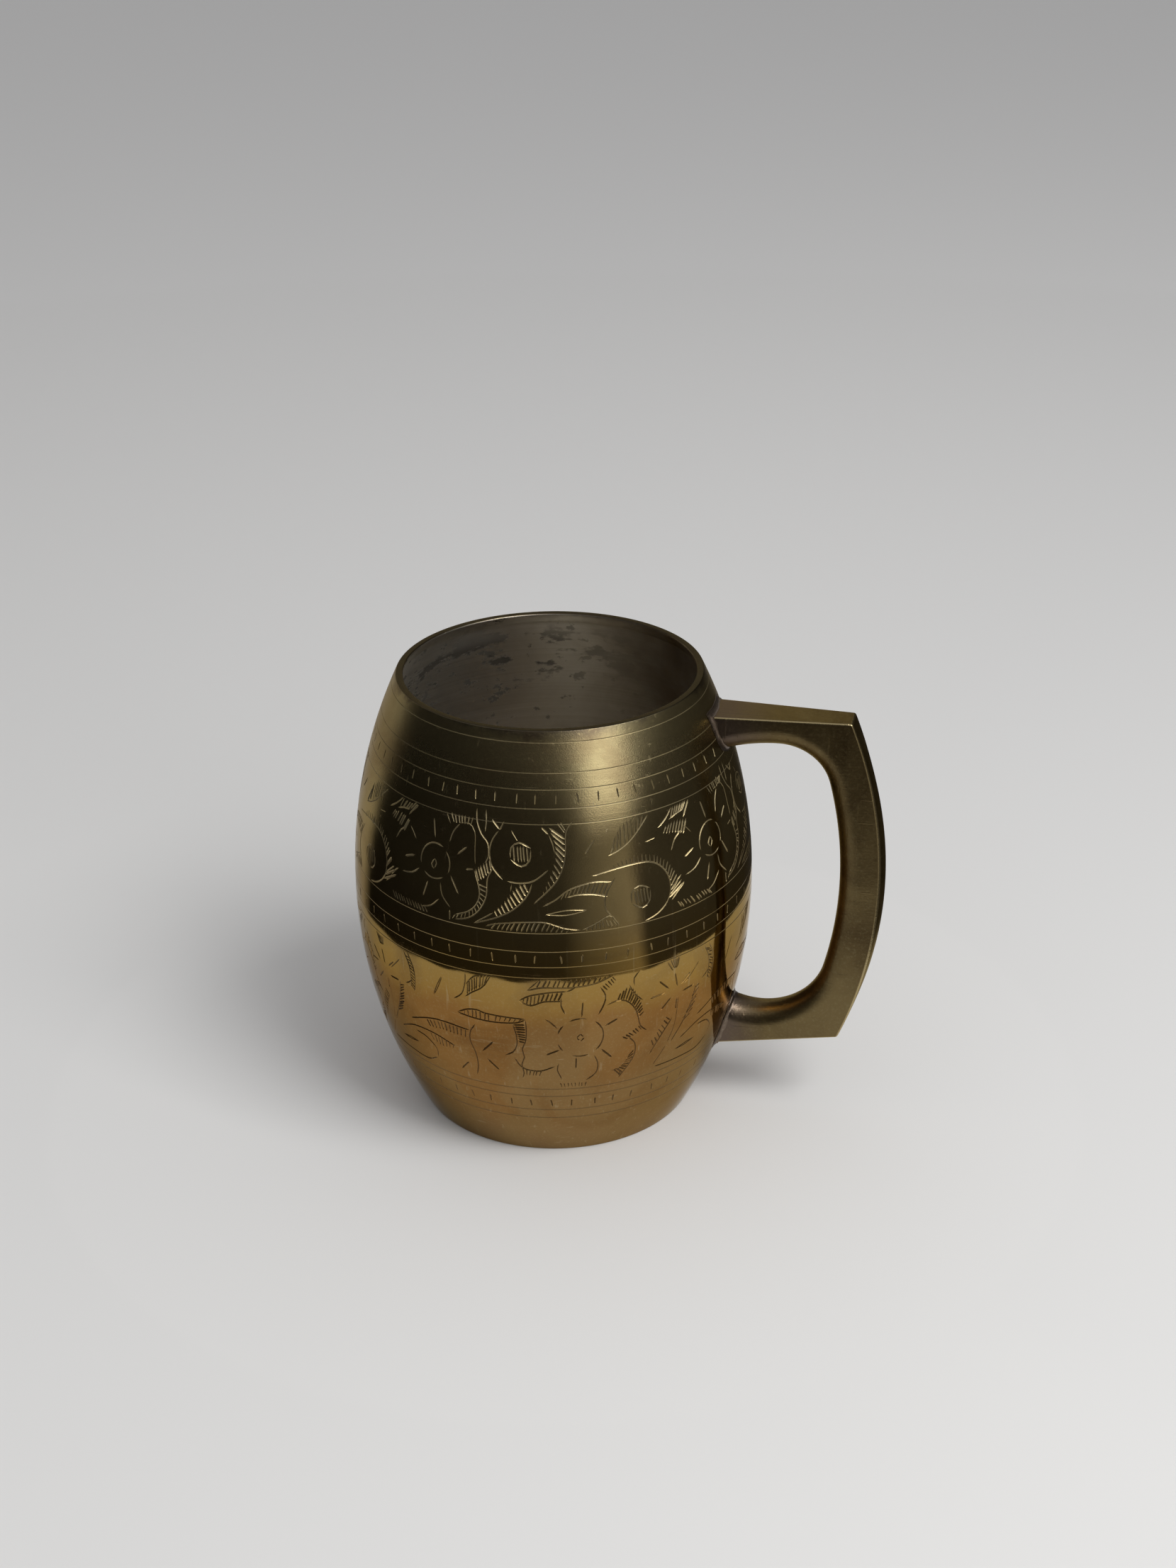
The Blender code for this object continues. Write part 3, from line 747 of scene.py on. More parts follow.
def engrave_large_flower(cut):
    """Large flower with a ring heart, its crescents, and the two hatched leaves above it."""
    heart = (20.0, 41.2)
    for start, end in ((52, -48), (-68, -112), (222, 196), (166, 136), (118, 72)):
        cut.arc(heart, 5.8, start, end)
    cut.dashes(
        ((19.0, 41.2), (20.0, 42.3)),
        ((20.0, 42.3), (21.1, 41.2)),
        ((21.1, 41.2), (20.0, 40.1)),
        ((20.0, 40.1), (19.0, 41.2)),
        ((20.2, 47.4), (20.6, 51.9)),
        ((26.9, 43.9), (30.5, 45.5)),
        ((25.8, 37.1), (29.4, 33.7)),
        ((19.0, 35.2), (18.9, 31.3)),
        ((14.2, 37.6), (10.3, 36.0)),
    )
    cut.line((10.1, 47.2), (11.8, 46.0), (13.6, 44.2))
    cut.line((14.9, 53.8), (14.8, 51.2), (15.9, 48.5))
    cut.line((25.5, 55.6), (27.0, 53.0), (26.6, 50.5), (25.0, 47.5))
    petal = ((27.2, 49.9), (30.0, 50.8), (32.8, 50.3), (35.4, 47.8), (36.8, 44.4), (37.6, 41.8), (39.9, 39.7))
    cut.line(*petal)
    cut.hatch(petal[1:5], ((30.6, 52.6), (34.2, 54.4), (37.2, 50.2), (38.4, 45.8)), 13, 0.02)
    cut.line((33.6, 55.0), (35.2, 52.0), (38.0, 49.4))
    cut.hatch(((31.6, 39.4), (37.6, 42.2)), ((33.8, 38.2), (38.6, 40.6)), 6)
    cut.line((34.0, 39.4), (36.4, 36.6), (36.7, 33.2), (35.0, 29.8), (32.4, 26.4))
    cut.hatch(((36.4, 35.2), (36.2, 31.4), (32.4, 26.4)), ((34.8, 33.4), (32.8, 30.4), (30.2, 29.2)), 9, 0.03)
    cut.line((29.6, 29.2), (31.8, 29.4), (32.6, 27.4), (32.2, 26.2))
    cut.line((13.9, 33.4), (13.3, 31.0), (14.7, 27.6))
    cut.line((24.0, 35.3), (25.3, 32.2), (24.9, 29.2), (21.8, 26.9))
    cut.hatch(((13.8, 26.5), (22.6, 26.5)), ((14.2, 25.0), (22.4, 25.0)), 8)
    cut.line((5.6, 55.3), (10.0, 56.2), (17.0, 56.0), (24.0, 56.6), (29.2, 58.3))
    cut.line((5.6, 55.3), (9.2, 58.5))
    cut.hatch(((8.8, 58.5), (29.0, 58.5)), ((7.4, 56.0), (17.0, 56.0), (24.0, 56.6), (28.0, 57.8)), 15)
    cut.leaf(
        ((3.2, 52.3), (6.0, 53.8), (11.0, 54.8), (16.2, 55.1)),
        ((3.2, 52.2), (6.4, 51.0), (10.0, 52.2), (15.2, 52.3)),
        10,
        -0.03,
    )
    cut.line((16.2, 55.1), (17.6, 55.6), (18.8, 56.4))
    cut.hatch(((25.6, 55.6), (29.2, 58.2)), ((27.2, 54.0), (30.2, 56.8)), 5)


def engrave():
    """All cuts of the barrel: the two belts of motifs, then the three bands of dashes."""
    cut = Engraving()
    for unit, repeats in ((engrave_upper_unit, UPPER_REPEATS), (engrave_lower_unit, LOWER_REPEATS)):
        for turned in repeats:
            cut.place(turned, REPEAT_WOBBLE if turned else HAND_WOBBLE)
            unit(cut)
    cut.place(0.0, HAND_WOBBLE)
    for low, high, count in DASH_BANDS:
        for i in range(count):
            angle = SEAM_ANGLE + (i + 0.5) * 360.0 / count + cut.hand.uniform(-DASH_STRAY, DASH_STRAY)
            cut.dash((angle, high), (angle + cut.hand.uniform(*DASH_LEAN), low))
    return cut.cuts


# The engraved sheet as a mesh


def stroke_rails(points, width):
    """Half widths along a cut: nothing at its ends, full once the taper is over."""
    lengths = np.concatenate(([0.0], np.cumsum(np.hypot(*np.diff(points, axis=0).T))))
    reach = np.minimum(lengths, lengths[-1] - lengths)
    return width / 2 * np.clip(reach / min(STROKE_TAPER, lengths[-1] / 3), 0.0, 1.0)


def stroke_frame(points):
    """Unit vectors across a cut."""
    direction = np.gradient(points, axis=0)
    direction /= np.hypot(*direction.T)[:, None]
    return np.stack((-direction[:, 1], direction[:, 0]), axis=1)


class Sheet:
    """Flat plan of the engraved wall, cut into triangles that follow every stroke."""

    def __init__(self, cuts):
        self.cuts = [c for c in cuts if self.holds(c[0])]
        self.points = []
        self.edges = []

    def holds(self, points):
        """Whether a cut stays clear of the seam and of the sheet's upper and lower edge."""
        left, low = points.min(0)
        right, high = points.max(0)
        clear = left > SHEET_LEFT + SEAM_MARGIN and right < SHEET_LEFT + SHEET_GIRTH - SEAM_MARGIN
        return clear and low > SHEET_BOTTOM + EDGE_MARGIN and high < SHEET_TOP - EDGE_MARGIN

    def chain(self, indices):
        """Joins points in a row by edges that the plan keeps."""
        self.edges.extend(zip(indices, indices[1:]))

    def put(self, points):
        """Takes up points and gives their numbers."""
        first = len(self.points)
        self.points.extend(map(tuple, points))
        return list(range(first, len(self.points)))

    def add_stroke(self, points, width):
        """A cut's middle line and its two edges, which meet at its ends."""
        half = stroke_rails(points, width)[1:-1, None]
        across = stroke_frame(points)[1:-1]
        middle = points[1:-1]
        start, end = self.put(points[[0, -1]])
        for rail in (middle, middle + half * across, middle - half * across):
            self.chain([start, *self.put(rail), end])

    def add_rows(self):
        """Rows round the girth: the two edges of the sheet and the three lines of each ring."""
        columns = np.array(between(SHEET_LEFT, SHEET_LEFT + SHEET_GIRTH, GIRTH_STEPS))
        heights = [SHEET_BOTTOM, SHEET_TOP]
        for ring, width in RINGS:
            heights += [ring - width / 2, ring, ring + width / 2]
        for height in heights:
            self.chain(self.put((x, height) for x in columns))
        return columns, heights

    def add_grid(self, columns, heights):
        """Plain points between the strokes, with the seam's two sides alike."""

        def cell(x, y):
            return round(x / STROKE_CLEARANCE / 2), round(y / STROKE_CLEARANCE / 2)

        rows = between(SHEET_BOTTOM, SHEET_TOP, int((SHEET_TOP - SHEET_BOTTOM) / SHEET_ROW))[1:-1]
        taken = {cell(x, y) for points, _, _ in self.cuts for x, y in points}
        heights = np.array(heights)
        for row in rows:
            if np.abs(heights - row).min() < STROKE_CLEARANCE:
                continue
            for column in columns[:-1]:
                across, up = cell(column, row)
                near = any((across + i, up + j) in taken for i in (-1, 0, 1) for j in (-1, 0, 1))
                if column == columns[0]:
                    self.put(((column, row), (columns[-1], row)))
                elif not near:
                    self.put(((column, row),))

    def triangles(self):
        """Places and triangles of the whole plan."""
        columns, heights = self.add_rows()
        for points, width, _ in self.cuts:
            self.add_stroke(points, width)
        self.add_grid(columns, heights)
        plan = delaunay_2d_cdt([Vector(p) for p in self.points], self.edges, [], 0, PLAN_TOLERANCE, False)
        return np.array([tuple(p) for p in plan[0]]), plan[2]

    def depths(self, places):
        """How deep every place is cut, by the strokes and by the rings: a V across each."""
        depth = np.zeros(len(places))
        rings = np.zeros(len(places))
        for ring, width in RINGS:
            away = np.abs(places[:, 1] - ring) / (width / 2)
            rings = np.maximum(rings, RING_DEPTH * np.clip(1 - away, 0.0, 1.0))
        order = np.argsort(places[:, 0])
        sorted_x = places[order, 0]
        for points, width, deepest in self.cuts:
            half = stroke_rails(points, width)
            low, high = points.min(0) - width, points.max(0) + width
            near = order[np.searchsorted(sorted_x, low[0]) : np.searchsorted(sorted_x, high[0])]
            near = near[(places[near, 1] > low[1]) & (places[near, 1] < high[1])]
            start, span = points[:-1], np.diff(points, axis=0)
            offset = places[near][:, None] - start
            share = np.clip((offset * span).sum(-1) / (span * span).sum(-1), 0.0, 1.0)
            away = np.linalg.norm(offset - share[..., None] * span, axis=-1)
            reach = half[:-1] + share * np.diff(half)
            cut = np.where(reach > LEAST_REACH, 1 - away / np.maximum(reach, LEAST_REACH), 0.0)
            cut = cut.clip(0.0, 1.0)
            depth[near] = np.maximum(depth[near], (cut * reach).max(1) * deepest / (width / 2))
        return depth, rings


def wall_normal(angle, z):
    """The outer wall's normal, at an angle from the front."""
    slope = barrel_slope(z)
    level = math.cos(slope)
    return Vector((level * math.sin(angle), -level * math.cos(angle), math.sin(slope)))


def lip_profile():
    """The flat lip with its rounded edges, from its outer side over the top to its inner side."""
    height = MUG_HEIGHT - LIP_EDGE_ROUND
    outer_depth = LIP_EDGE_ROUND
    inner_depth = LIP_THICKNESS - LIP_EDGE_ROUND
    outer = (barrel_radius(height, outer_depth), height)
    inner = (barrel_radius(height, inner_depth), height)
    outer_angles = between(barrel_slope(height, outer_depth), math.pi / 2, EDGE_STEPS)
    inner_angles = between(math.pi / 2, math.pi + barrel_slope(height, inner_depth), EDGE_STEPS)
    lip = [on_circle(outer, LIP_EDGE_ROUND, a) for a in outer_angles]
    return lip + [on_circle(inner, LIP_EDGE_ROUND, a) for a in inner_angles]


def foot_profile():
    """The rounded foot edge, from the outer wall down to the standing plane."""
    centre = (barrel_radius(FOOT_EDGE_RADIUS, FOOT_EDGE_RADIUS), FOOT_EDGE_RADIUS)
    tilt = barrel_slope(FOOT_EDGE_RADIUS, FOOT_EDGE_RADIUS)
    return [on_circle(centre, FOOT_EDGE_RADIUS, a) for a in between(tilt, -math.pi / 2, EDGE_STEPS)]


def lip_ledge():
    """Heights of the ledge under the lip: where the full thickness ends and the thin wall begins."""
    upper = MUG_HEIGHT - LIP_DEPTH
    return upper, upper - abs(LIP_THICKNESS - SHELL_WALL)


def make_barrel(material):
    """The turned shell with its engraved wall."""
    sheet = Sheet(engrave())
    places, triangles = sheet.triangles()
    strokes, rings = sheet.depths(places)
    cut_marks = np.maximum(strokes / HATCH_DEPTH, RING_MARK_SHARE * rings / RING_DEPTH)
    depths = np.maximum(strokes, rings)
    bm = bmesh.new()
    cut_layer = bm.verts.layers.float.new("cut")
    tin_layer = bm.verts.layers.float.new("tinned")
    lip, foot = lip_profile(), foot_profile()
    ledge_top, ledge_bottom = lip_ledge()
    top, bottom = SHEET_TOP * MM, SHEET_BOTTOM * MM
    profile = [(barrel_radius(top), top)]
    profile += lip + [(barrel_radius(ledge_top, LIP_THICKNESS), ledge_top)]
    profile += [(barrel_radius(z, SHELL_WALL), z) for z in between(ledge_bottom, 0.0, WALL_STEPS)]
    profile += foot[::-1]
    profile += [(barrel_radius(z), z) for z in between(foot[0][1], bottom, FOOT_STEPS)[1:]]
    turn(bm, profile)
    for vert in bm.verts:
        inner = vert.co.xy.length < barrel_radius(vert.co.z) - TINNED_SHARE * LIP_THICKNESS
        vert[tin_layer] = float(inner and FLOOR_SEAT < vert.co.z < MUG_HEIGHT - LIP_EDGE_ROUND / 2)
    wall = []
    for (x, y), depth, dirt_and_shade_fill in zip(places.tolist(), depths.tolist(), cut_marks.tolist()):
        angle, z = x * MM / BELLY_RADIUS, y * MM
        radius = barrel_radius(z)
        spot = Vector((radius * math.sin(angle), -radius * math.cos(angle), z))
        vert = bm.verts.new(spot - depth * MM * wall_normal(angle, z))
        vert[cut_layer] = dirt_and_shade_fill
        wall.append(vert)
    for corners in triangles:
        bm.faces.new([wall[i] for i in corners])
    close_up(bm)
    mesh = creased(bm, "engraved_barrel", BARREL_CREASE)
    keep_wall_smooth(mesh)
    return new_object("engraved_barrel", mesh, material)


def read_numbers(items, name):
    """One whole number of every item of a mesh."""
    numbers = np.empty(len(items), np.int32)
    items.foreach_get(name, numbers)
    return numbers


def read_values(items, name, width):
    """One value or vector of every item of a mesh."""
    values = np.empty(len(items) * width, np.float32)
    items.foreach_get(name, values)
    return values.reshape(-1, width)


def keep_wall_smooth(mesh):
    """Gives the plain wall the barrel's own normals, so that only the cuts break its reflections."""
    corners = read_numbers(mesh.loops, "vertex_index")
    starts = read_numbers(mesh.polygons, "loop_start")
    sizes = read_numbers(mesh.polygons, "loop_total")
    normals = read_values(mesh.corner_normals, "vector", 3)
    flats = read_values(mesh.polygons, "normal", 3)
    places = read_values(mesh.vertices, "co", 3)
    cut = read_values(mesh.attributes["cut"].data, "value", 1)[:, 0]
    face_of = np.repeat(np.arange(len(starts)), sizes)
    grooved = np.maximum.reduceat(cut[corners], starts) > LEAST_CUT
    heights = places[:, 2].astype(float)
    arcs = np.where(heights > BELLY_HEIGHT, UPPER_ARC, LOWER_ARC)
    slope = np.arcsin(np.clip((heights - BELLY_HEIGHT) / arcs, -1, 1))
    angle = np.arctan2(places[:, 1], places[:, 0])
    level = np.cos(slope)
    ideal = np.stack((level * np.cos(angle), level * np.sin(angle), np.sin(slope)), axis=1)
    radius = np.hypot(places[:, 0], places[:, 1])
    wall = BELLY_RADIUS - arcs + np.sqrt(arcs**2 - (heights - BELLY_HEIGHT) ** 2)
    on_sheet = (heights > FOOT_EDGE_RADIUS) & (heights < SHEET_TOP * MM + TOP_TOLERANCE)
    outer = (np.abs(radius - wall) < WALL_TOLERANCE) & on_sheet
    plain = np.minimum.reduceat((outer | (cut > LEAST_CUT))[corners], starts)[face_of]
    in_cut = grooved[face_of]
    on_plain = plain & ~in_cut
    normals[on_plain] = ideal[corners[on_plain]]
    normals[in_cut] = flats[face_of[in_cut]]
    mesh.normals_split_custom_set(normals.tolist())


# Lining and bottom


def lining_corner():
    """Radius and centre of the lining's rounded floor corner, and its angle against the wall."""
    radius = LINING_CORNER_LEG * math.tan(math.pi / 4 - barrel_slope(FLOOR_SEAT, LINING_DEPTH) / 2)
    height = FLOOR_SEAT + radius
    depth = LINING_DEPTH + radius
    return radius, (barrel_radius(height, depth), height), barrel_slope(height, depth)


def make_lining(material):
    """The tin cup, whose upper edge lies along the slope under the lip."""
    corner_radius, centre, wall_angle = lining_corner()
    ledge_top = lip_ledge()[0] - LINING_CLEARANCE

    def side(inward):
        top = ledge_top - (LIP_THICKNESS - LINING_DEPTH - inward)
        angles = between(wall_angle, -math.pi / 2, EDGE_STEPS)
        corner = [on_circle(centre, corner_radius - inward, a) for a in angles]
        heights = between(top, corner[0][1], WALL_STEPS)[:-1]
        return [(barrel_radius(z, LINING_DEPTH + inward), z) for z in heights] + corner

    inside = side(LINING_THICKNESS) + [(0.0, FLOOR_SEAT + LINING_THICKNESS)]
    bm = bmesh.new()
    turn(bm, inside[::-1] + side(0.0) + [(0.0, FLOOR_SEAT)])
    close_up(bm)
    return new_object("tinned_lining", creased(bm, "tinned_lining", LINING_CREASE), material)


def make_bottom(material):
    """The bottom disc, faced on a lathe in shallow steps around a centre mark."""
    top, bottom, edge = BASE_INSET + BASE_THICKNESS, BASE_INSET, SHELL_WALL + FIT_GAP
    shoulder = bottom + BASE_EDGE_CHAMFER
    rim = barrel_radius(bottom, edge) - BASE_EDGE_CHAMFER
    profile = [(0.0, top), (barrel_radius(top, edge), top)]
    profile += [(barrel_radius(shoulder, edge), shoulder), (rim, bottom)]
    for i, radius in enumerate(between(rim * FACING_START, rim * FACING_END, FACING_STEPS)):
        profile.append((radius, bottom + FACING_DEPTH * (i % 2)))
    profile.append((rim * CENTRE_MARK_SHARE, bottom + CENTRE_MARK_SHOULDER))
    profile.append((0.0, bottom + CENTRE_MARK_DEPTH))
    bm = bmesh.new()
    turn(bm, profile)
    close_up(bm)
    return new_object("bottom_disc", creased(bm, "bottom_disc", PLATE_CREASE), material)


# Handle

HANDLE_TOP = MUG_HEIGHT - HANDLE_TOP_DROP
FINGER_TOP = HANDLE_TOP - UPPER_ARM_DEPTH
FINGER_BOTTOM = (LOWER_ROOT_HEIGHT + BOTTOM_CORNER_HEIGHT) / 2 + LOWER_ARM_DEPTH
TOP_CORNER = (BELLY_RADIUS + TOP_CORNER_REACH, HANDLE_TOP)
BOTTOM_CORNER = (BELLY_RADIUS + BOTTOM_CORNER_REACH, BOTTOM_CORNER_HEIGHT)


def strap_arc():
    """Centre and radius of the strap's outer arc through the handle's two outer corners."""
    along_x, along_z = BOTTOM_CORNER[0] - TOP_CORNER[0], BOTTOM_CORNER[1] - TOP_CORNER[1]
    chord = math.hypot(along_x, along_z)
    radius = arc_radius(chord / 2, STRAP_BULGE)
    back = (radius - STRAP_BULGE) / chord
    middle = ((TOP_CORNER[0] + BOTTOM_CORNER[0]) / 2, (TOP_CORNER[1] + BOTTOM_CORNER[1]) / 2)
    return (middle[0] + along_z * back, middle[1] - along_x * back), radius


def strap_angle(point):
    """Angle of a point about the centre of the strap's outer arc."""
    centre = strap_arc()[0]
    return math.atan2(point[1] - centre[1], point[0] - centre[0])


def strap_crown(point):
    """How far the middle of the strap's outer side stands over its arrises; nothing on the arms."""
    low, high = strap_angle(BOTTOM_CORNER), strap_angle(TOP_CORNER)
    share = (strap_angle(point) - low) / (high - low)
    return STRAP_CROWN * math.sin(math.pi * min(max(share, 0.0), 1.0))


def cheek_width(x):
    """Width of the handle across Y; both cheeks are flat and taper towards the strap."""
    taper = (CHEEK_WIDTH_AT_CORNER - CHEEK_WIDTH_AT_BELLY) / TOP_CORNER_REACH
    return CHEEK_WIDTH_AT_BELLY + taper * (x - BELLY_RADIUS)


def finger_corner(height, radius):
    """Centre of a finger corner's round, and the angle at which the round meets the strap."""
    centre, outer_radius = strap_arc()
    reach = outer_radius - STRAP_THICKNESS - radius
    x = centre[0] + math.sqrt(reach**2 - (height - centre[1]) ** 2)
    return (x, height), math.atan2(height - centre[1], x - centre[0])


TOP_ROUND, TOP_ANGLE = finger_corner(FINGER_TOP - FINGER_CORNER_TOP, FINGER_CORNER_TOP)
LOW_ROUND, LOW_ANGLE = finger_corner(FINGER_BOTTOM + FINGER_CORNER_BOTTOM, FINGER_CORNER_BOTTOM)


def root_swell(x, height, corner_x, swell):
    """How much an arm thickens on its finger side from its finger corner to the barrel."""
    share = (corner_x - x) / (corner_x - barrel_radius(height))
    return swell * min(max(share, 0.0), 1.0) ** 2


def upper_arm(x):
    """Heights of the upper arm's flat outer side and of its finger side."""
    return HANDLE_TOP, FINGER_TOP - root_swell(x, FINGER_TOP, TOP_ROUND[0], UPPER_ROOT_SWELL)


def lower_arm(x):
    """Heights of the lower arm's flat outer side and of its finger side."""
    root = barrel_radius(LOWER_ROOT_HEIGHT)
    rise = (BOTTOM_CORNER_HEIGHT - LOWER_ROOT_HEIGHT) / (BOTTOM_CORNER[0] - root)
    finger_side = FINGER_BOTTOM + root_swell(x, FINGER_BOTTOM, LOW_ROUND[0], LOWER_ROOT_SWELL)
    return LOWER_ROOT_HEIGHT + rise * (x - root), finger_side


def handle_stations():
    """Pairs of points (finger side, outer side) along the handle from its upper to its lower root."""
    centre, outer_radius = strap_arc()
    inner_radius = outer_radius - STRAP_THICKNESS

    def arm(profile, start, end):
        return [((x, profile(x)[1]), (x, profile(x)[0])) for x in between(start, end, ARM_STEPS)]

    def corner(round_centre, radius, angles, outside):
        inside = [on_circle(round_centre, radius, a) for a in between(*angles, CORNER_STEPS)]
        return list(zip(inside, outside))[1:]

    def on_strap(radius, start, end, steps):
        return [on_circle(centre, radius, a) for a in between(start, end, steps)]

    top_middle = (math.pi / 2 + TOP_ANGLE) / 2
    low_middle = (LOW_ANGLE - math.pi / 2) / 2
    top_edge = [(x, HANDLE_TOP) for x in between(TOP_ROUND[0], TOP_CORNER[0], CORNER_STEPS)]
    low_edge = [(x, lower_arm(x)[0]) for x in between(BOTTOM_CORNER[0], LOW_ROUND[0], CORNER_STEPS)]
    strap_top = on_strap(outer_radius, strap_angle(TOP_CORNER), TOP_ANGLE, CORNER_STEPS)
    strap_low = on_strap(outer_radius, LOW_ANGLE, strap_angle(BOTTOM_CORNER), CORNER_STEPS)
    strap = zip(
        on_strap(inner_radius, TOP_ANGLE, LOW_ANGLE, STRAP_STEPS),
        on_strap(outer_radius, TOP_ANGLE, LOW_ANGLE, STRAP_STEPS),
    )
    stations = arm(upper_arm, barrel_radius(HANDLE_TOP) - ROOT_OVERRUN, TOP_ROUND[0])
    stations += corner(TOP_ROUND, FINGER_CORNER_TOP, (math.pi / 2, top_middle), top_edge)
    stations += corner(TOP_ROUND, FINGER_CORNER_TOP, (top_middle, TOP_ANGLE), strap_top)
    stations += list(strap)[1:]
    stations += corner(LOW_ROUND, FINGER_CORNER_BOTTOM, (LOW_ANGLE, low_middle), strap_low)
    stations += corner(LOW_ROUND, FINGER_CORNER_BOTTOM, (low_middle, -math.pi / 2), low_edge)
    stations += arm(lower_arm, LOW_ROUND[0], barrel_radius(LOWER_ROOT_HEIGHT) - ROOT_OVERRUN)[1:]
    return stations


def handle_section(finger_side, outer_side):
    """One closed section: a crowned outer side, two flat cheeks and a rounded finger side."""
    dx, dz = outer_side[0] - finger_side[0], outer_side[1] - finger_side[1]
    length = math.hypot(dx, dz)
    half = cheek_width(outer_side[0]) / 2
    crown = strap_crown(outer_side)

    def outside(across):
        out = 1 + crown * (1 - across**2 - CROWN_SET_BACK) / length
        return finger_side[0] + dx * out, half * across, finger_side[1] + dz * out

    points = [outside(1.0)]
    for angle in between(math.pi / 2, -math.pi / 2, ROUND_STEPS):
        share = FINGER_ROUND_DEPTH * (1 - math.cos(angle)) / length
        x = finger_side[0] + dx * share
        points.append((x, cheek_width(x) / 2 * math.sin(angle), finger_side[1] + dz * share))
    points += [outside(across) for across in between(-1.0, 1.0, CROWN_STEPS)[:-1]]
    return points


def make_handle(material):
    """The cast handle: a lofted bow with eased arrises, cut to the barrel at both roots."""
    bm = bmesh.new()
    worn_layer = bm.verts.layers.float.new("arris_wear_or_tin_shade")
    loops = loft(bm, [handle_section(*pair) for pair in handle_stations()], False)
    bmesh.ops.contextual_create(bm, geom=loops[0])
    bmesh.ops.contextual_create(bm, geom=loops[-1])
    face_outwards(bm)
    bend = math.radians(ARRIS_ANGLE)
    sharp = [e for e in bm.edges if len(e.link_faces) == 2 and e.calc_face_angle() > bend]
    inmost = min(barrel_radius(HANDLE_TOP), barrel_radius(LOWER_ROOT_HEIGHT)) - ROOT_OVERRUN / 2
    arrises = [e for e in sharp if max(v.co.x for v in e.verts) > inmost]
    bevel = bmesh.ops.bevel(
        bm,
        geom=arrises,
        offset=ARRIS_ROUND,
        offset_type="OFFSET",
        affect="EDGES",
        segments=ARRIS_STEPS,
        profile=0.5,
        material=-1,
    )
    eased = set(bevel["faces"])
    for vert in bm.verts:
        vert[worn_layer] = float(all(face in eased for face in vert.link_faces))
    piece = new_object("cast_handle", mesh_from(bm, "cast_handle"), material)
    cutter = bmesh.new()
    heights = between(MUG_HEIGHT, 0.0, WALL_STEPS)
    wall = [(barrel_radius(z, -FIT_GAP), z) for z in heights]
    turn(cutter, [(0.0, MUG_HEIGHT), *wall, (0.0, 0.0)])
    close_up(cutter)
    tool = new_object("barrel_cutter", mesh_from(cutter, "barrel_cutter"), material)
    trim = piece.modifiers.new("trim_to_barrel", "BOOLEAN")
    trim.operation = "DIFFERENCE"
    trim.solver = "EXACT"
    trim.object = tool
    bpy.context.view_layer.update()
    finished = piece.evaluated_get(bpy.context.evaluated_depsgraph_get())
    trimmed = bpy.data.meshes.new_from_object(finished)
    piece.modifiers.clear()
    piece.data = trimmed
    bpy.data.objects.remove(tool)
    trimmed.shade_smooth()
    trimmed.set_sharp_from_angle(angle=math.radians(HANDLE_CREASE))
    even = piece.modifiers.new("even_shading", "WEIGHTED_NORMAL")
    even.keep_sharp = True
    return piece


def root_outline(arm, x, grow):
    """(y, z) points round an arm's section at x, grown outwards all round."""
    outer_z, finger_z = arm(x)
    out = math.copysign(1.0, outer_z - finger_z)
    half = cheek_width(x) / 2 + grow
    flat_z, round_z = outer_z + out * grow, finger_z - out * grow
    depth = FINGER_ROUND_DEPTH + grow
    shoulder_z = round_z + out * depth
    points = [(y, flat_z) for y in between(-half, half, SIDE_STEPS)[:-1]]
    points += [(half, z) for z in between(flat_z, shoulder_z, SIDE_STEPS)[:-1]]
    for angle in between(math.pi / 2, -math.pi / 2, 2 * ROUND_STEPS):
        points.append((half * math.sin(angle), round_z + out * depth * (1 - math.cos(angle))))
    points += [(-half, z) for z in between(shoulder_z, flat_z, SIDE_STEPS)[1:-1]]
    return points


def root_ring(arm, standoffs, grows):
    """Points of a root outline laid at given standoffs from the barrel."""
    start = barrel_radius(arm(BELLY_RADIUS)[0])
    ring = []
    for index, (standoff, grow) in enumerate(zip(standoffs, grows)):
        x = start
        for _ in range(FILLET_PASSES):
            y, z = root_outline(arm, x, grow)[index]
            x = math.sqrt(barrel_radius(z, -standoff) ** 2 - y * y)
        ring.append((x, y, z))
    return ring


def make_braze(name, arm, phase, material):
    """A hand-run collar of braze, uneven along its length."""
    count = len(root_outline(arm, BELLY_RADIUS, 0.0))
    turns = [2 * math.pi * i / count for i in range(count)]

    def uneven(shift):
        legs = []
        for t in turns:
            ripples = [size * math.sin(waves * t + lag * shift) for waves, size, lag in BRAZE_RIPPLES]
            legs.append(FILLET_FINISH + FILLET_RIPPLE * sum(ripples))
        return legs

    on_wall, on_arm = uneven(phase), uneven(phase + ARM_SIDE_PHASE)
    rings = []
    for a in between(0.0, math.pi / 2, FILLET_STEPS):
        standoffs = [leg - (leg - FILLET_SEAT - FILLET_FEATHER) * math.sin(a) for leg in on_arm]
        grows = [leg - (leg - FILLET_SEAT) * math.cos(a) for leg in on_wall]
        rings.append(root_ring(arm, standoffs, grows))
    rings.append(root_ring(arm, [FILLET_SEAT] * count, on_wall))
    rings.append(root_ring(arm, [FILLET_SEAT] * count, [FILLET_SEAT] * count))
    bm = bmesh.new()
    loft(bm, rings, True)
    face_outwards(bm)
    return new_object(name, creased(bm, name, BRAZE_CREASE), material)


# Node helpers


def add_node(tree, kind, **values):
    """A node with values for its sockets or, where it has no such socket, its settings."""
    node = tree.nodes.new(kind)
    for key, value in values.items():
        if key in node.inputs:
            node.inputs[key].default_value = value
        else:
            setattr(node, key, value)
    return node


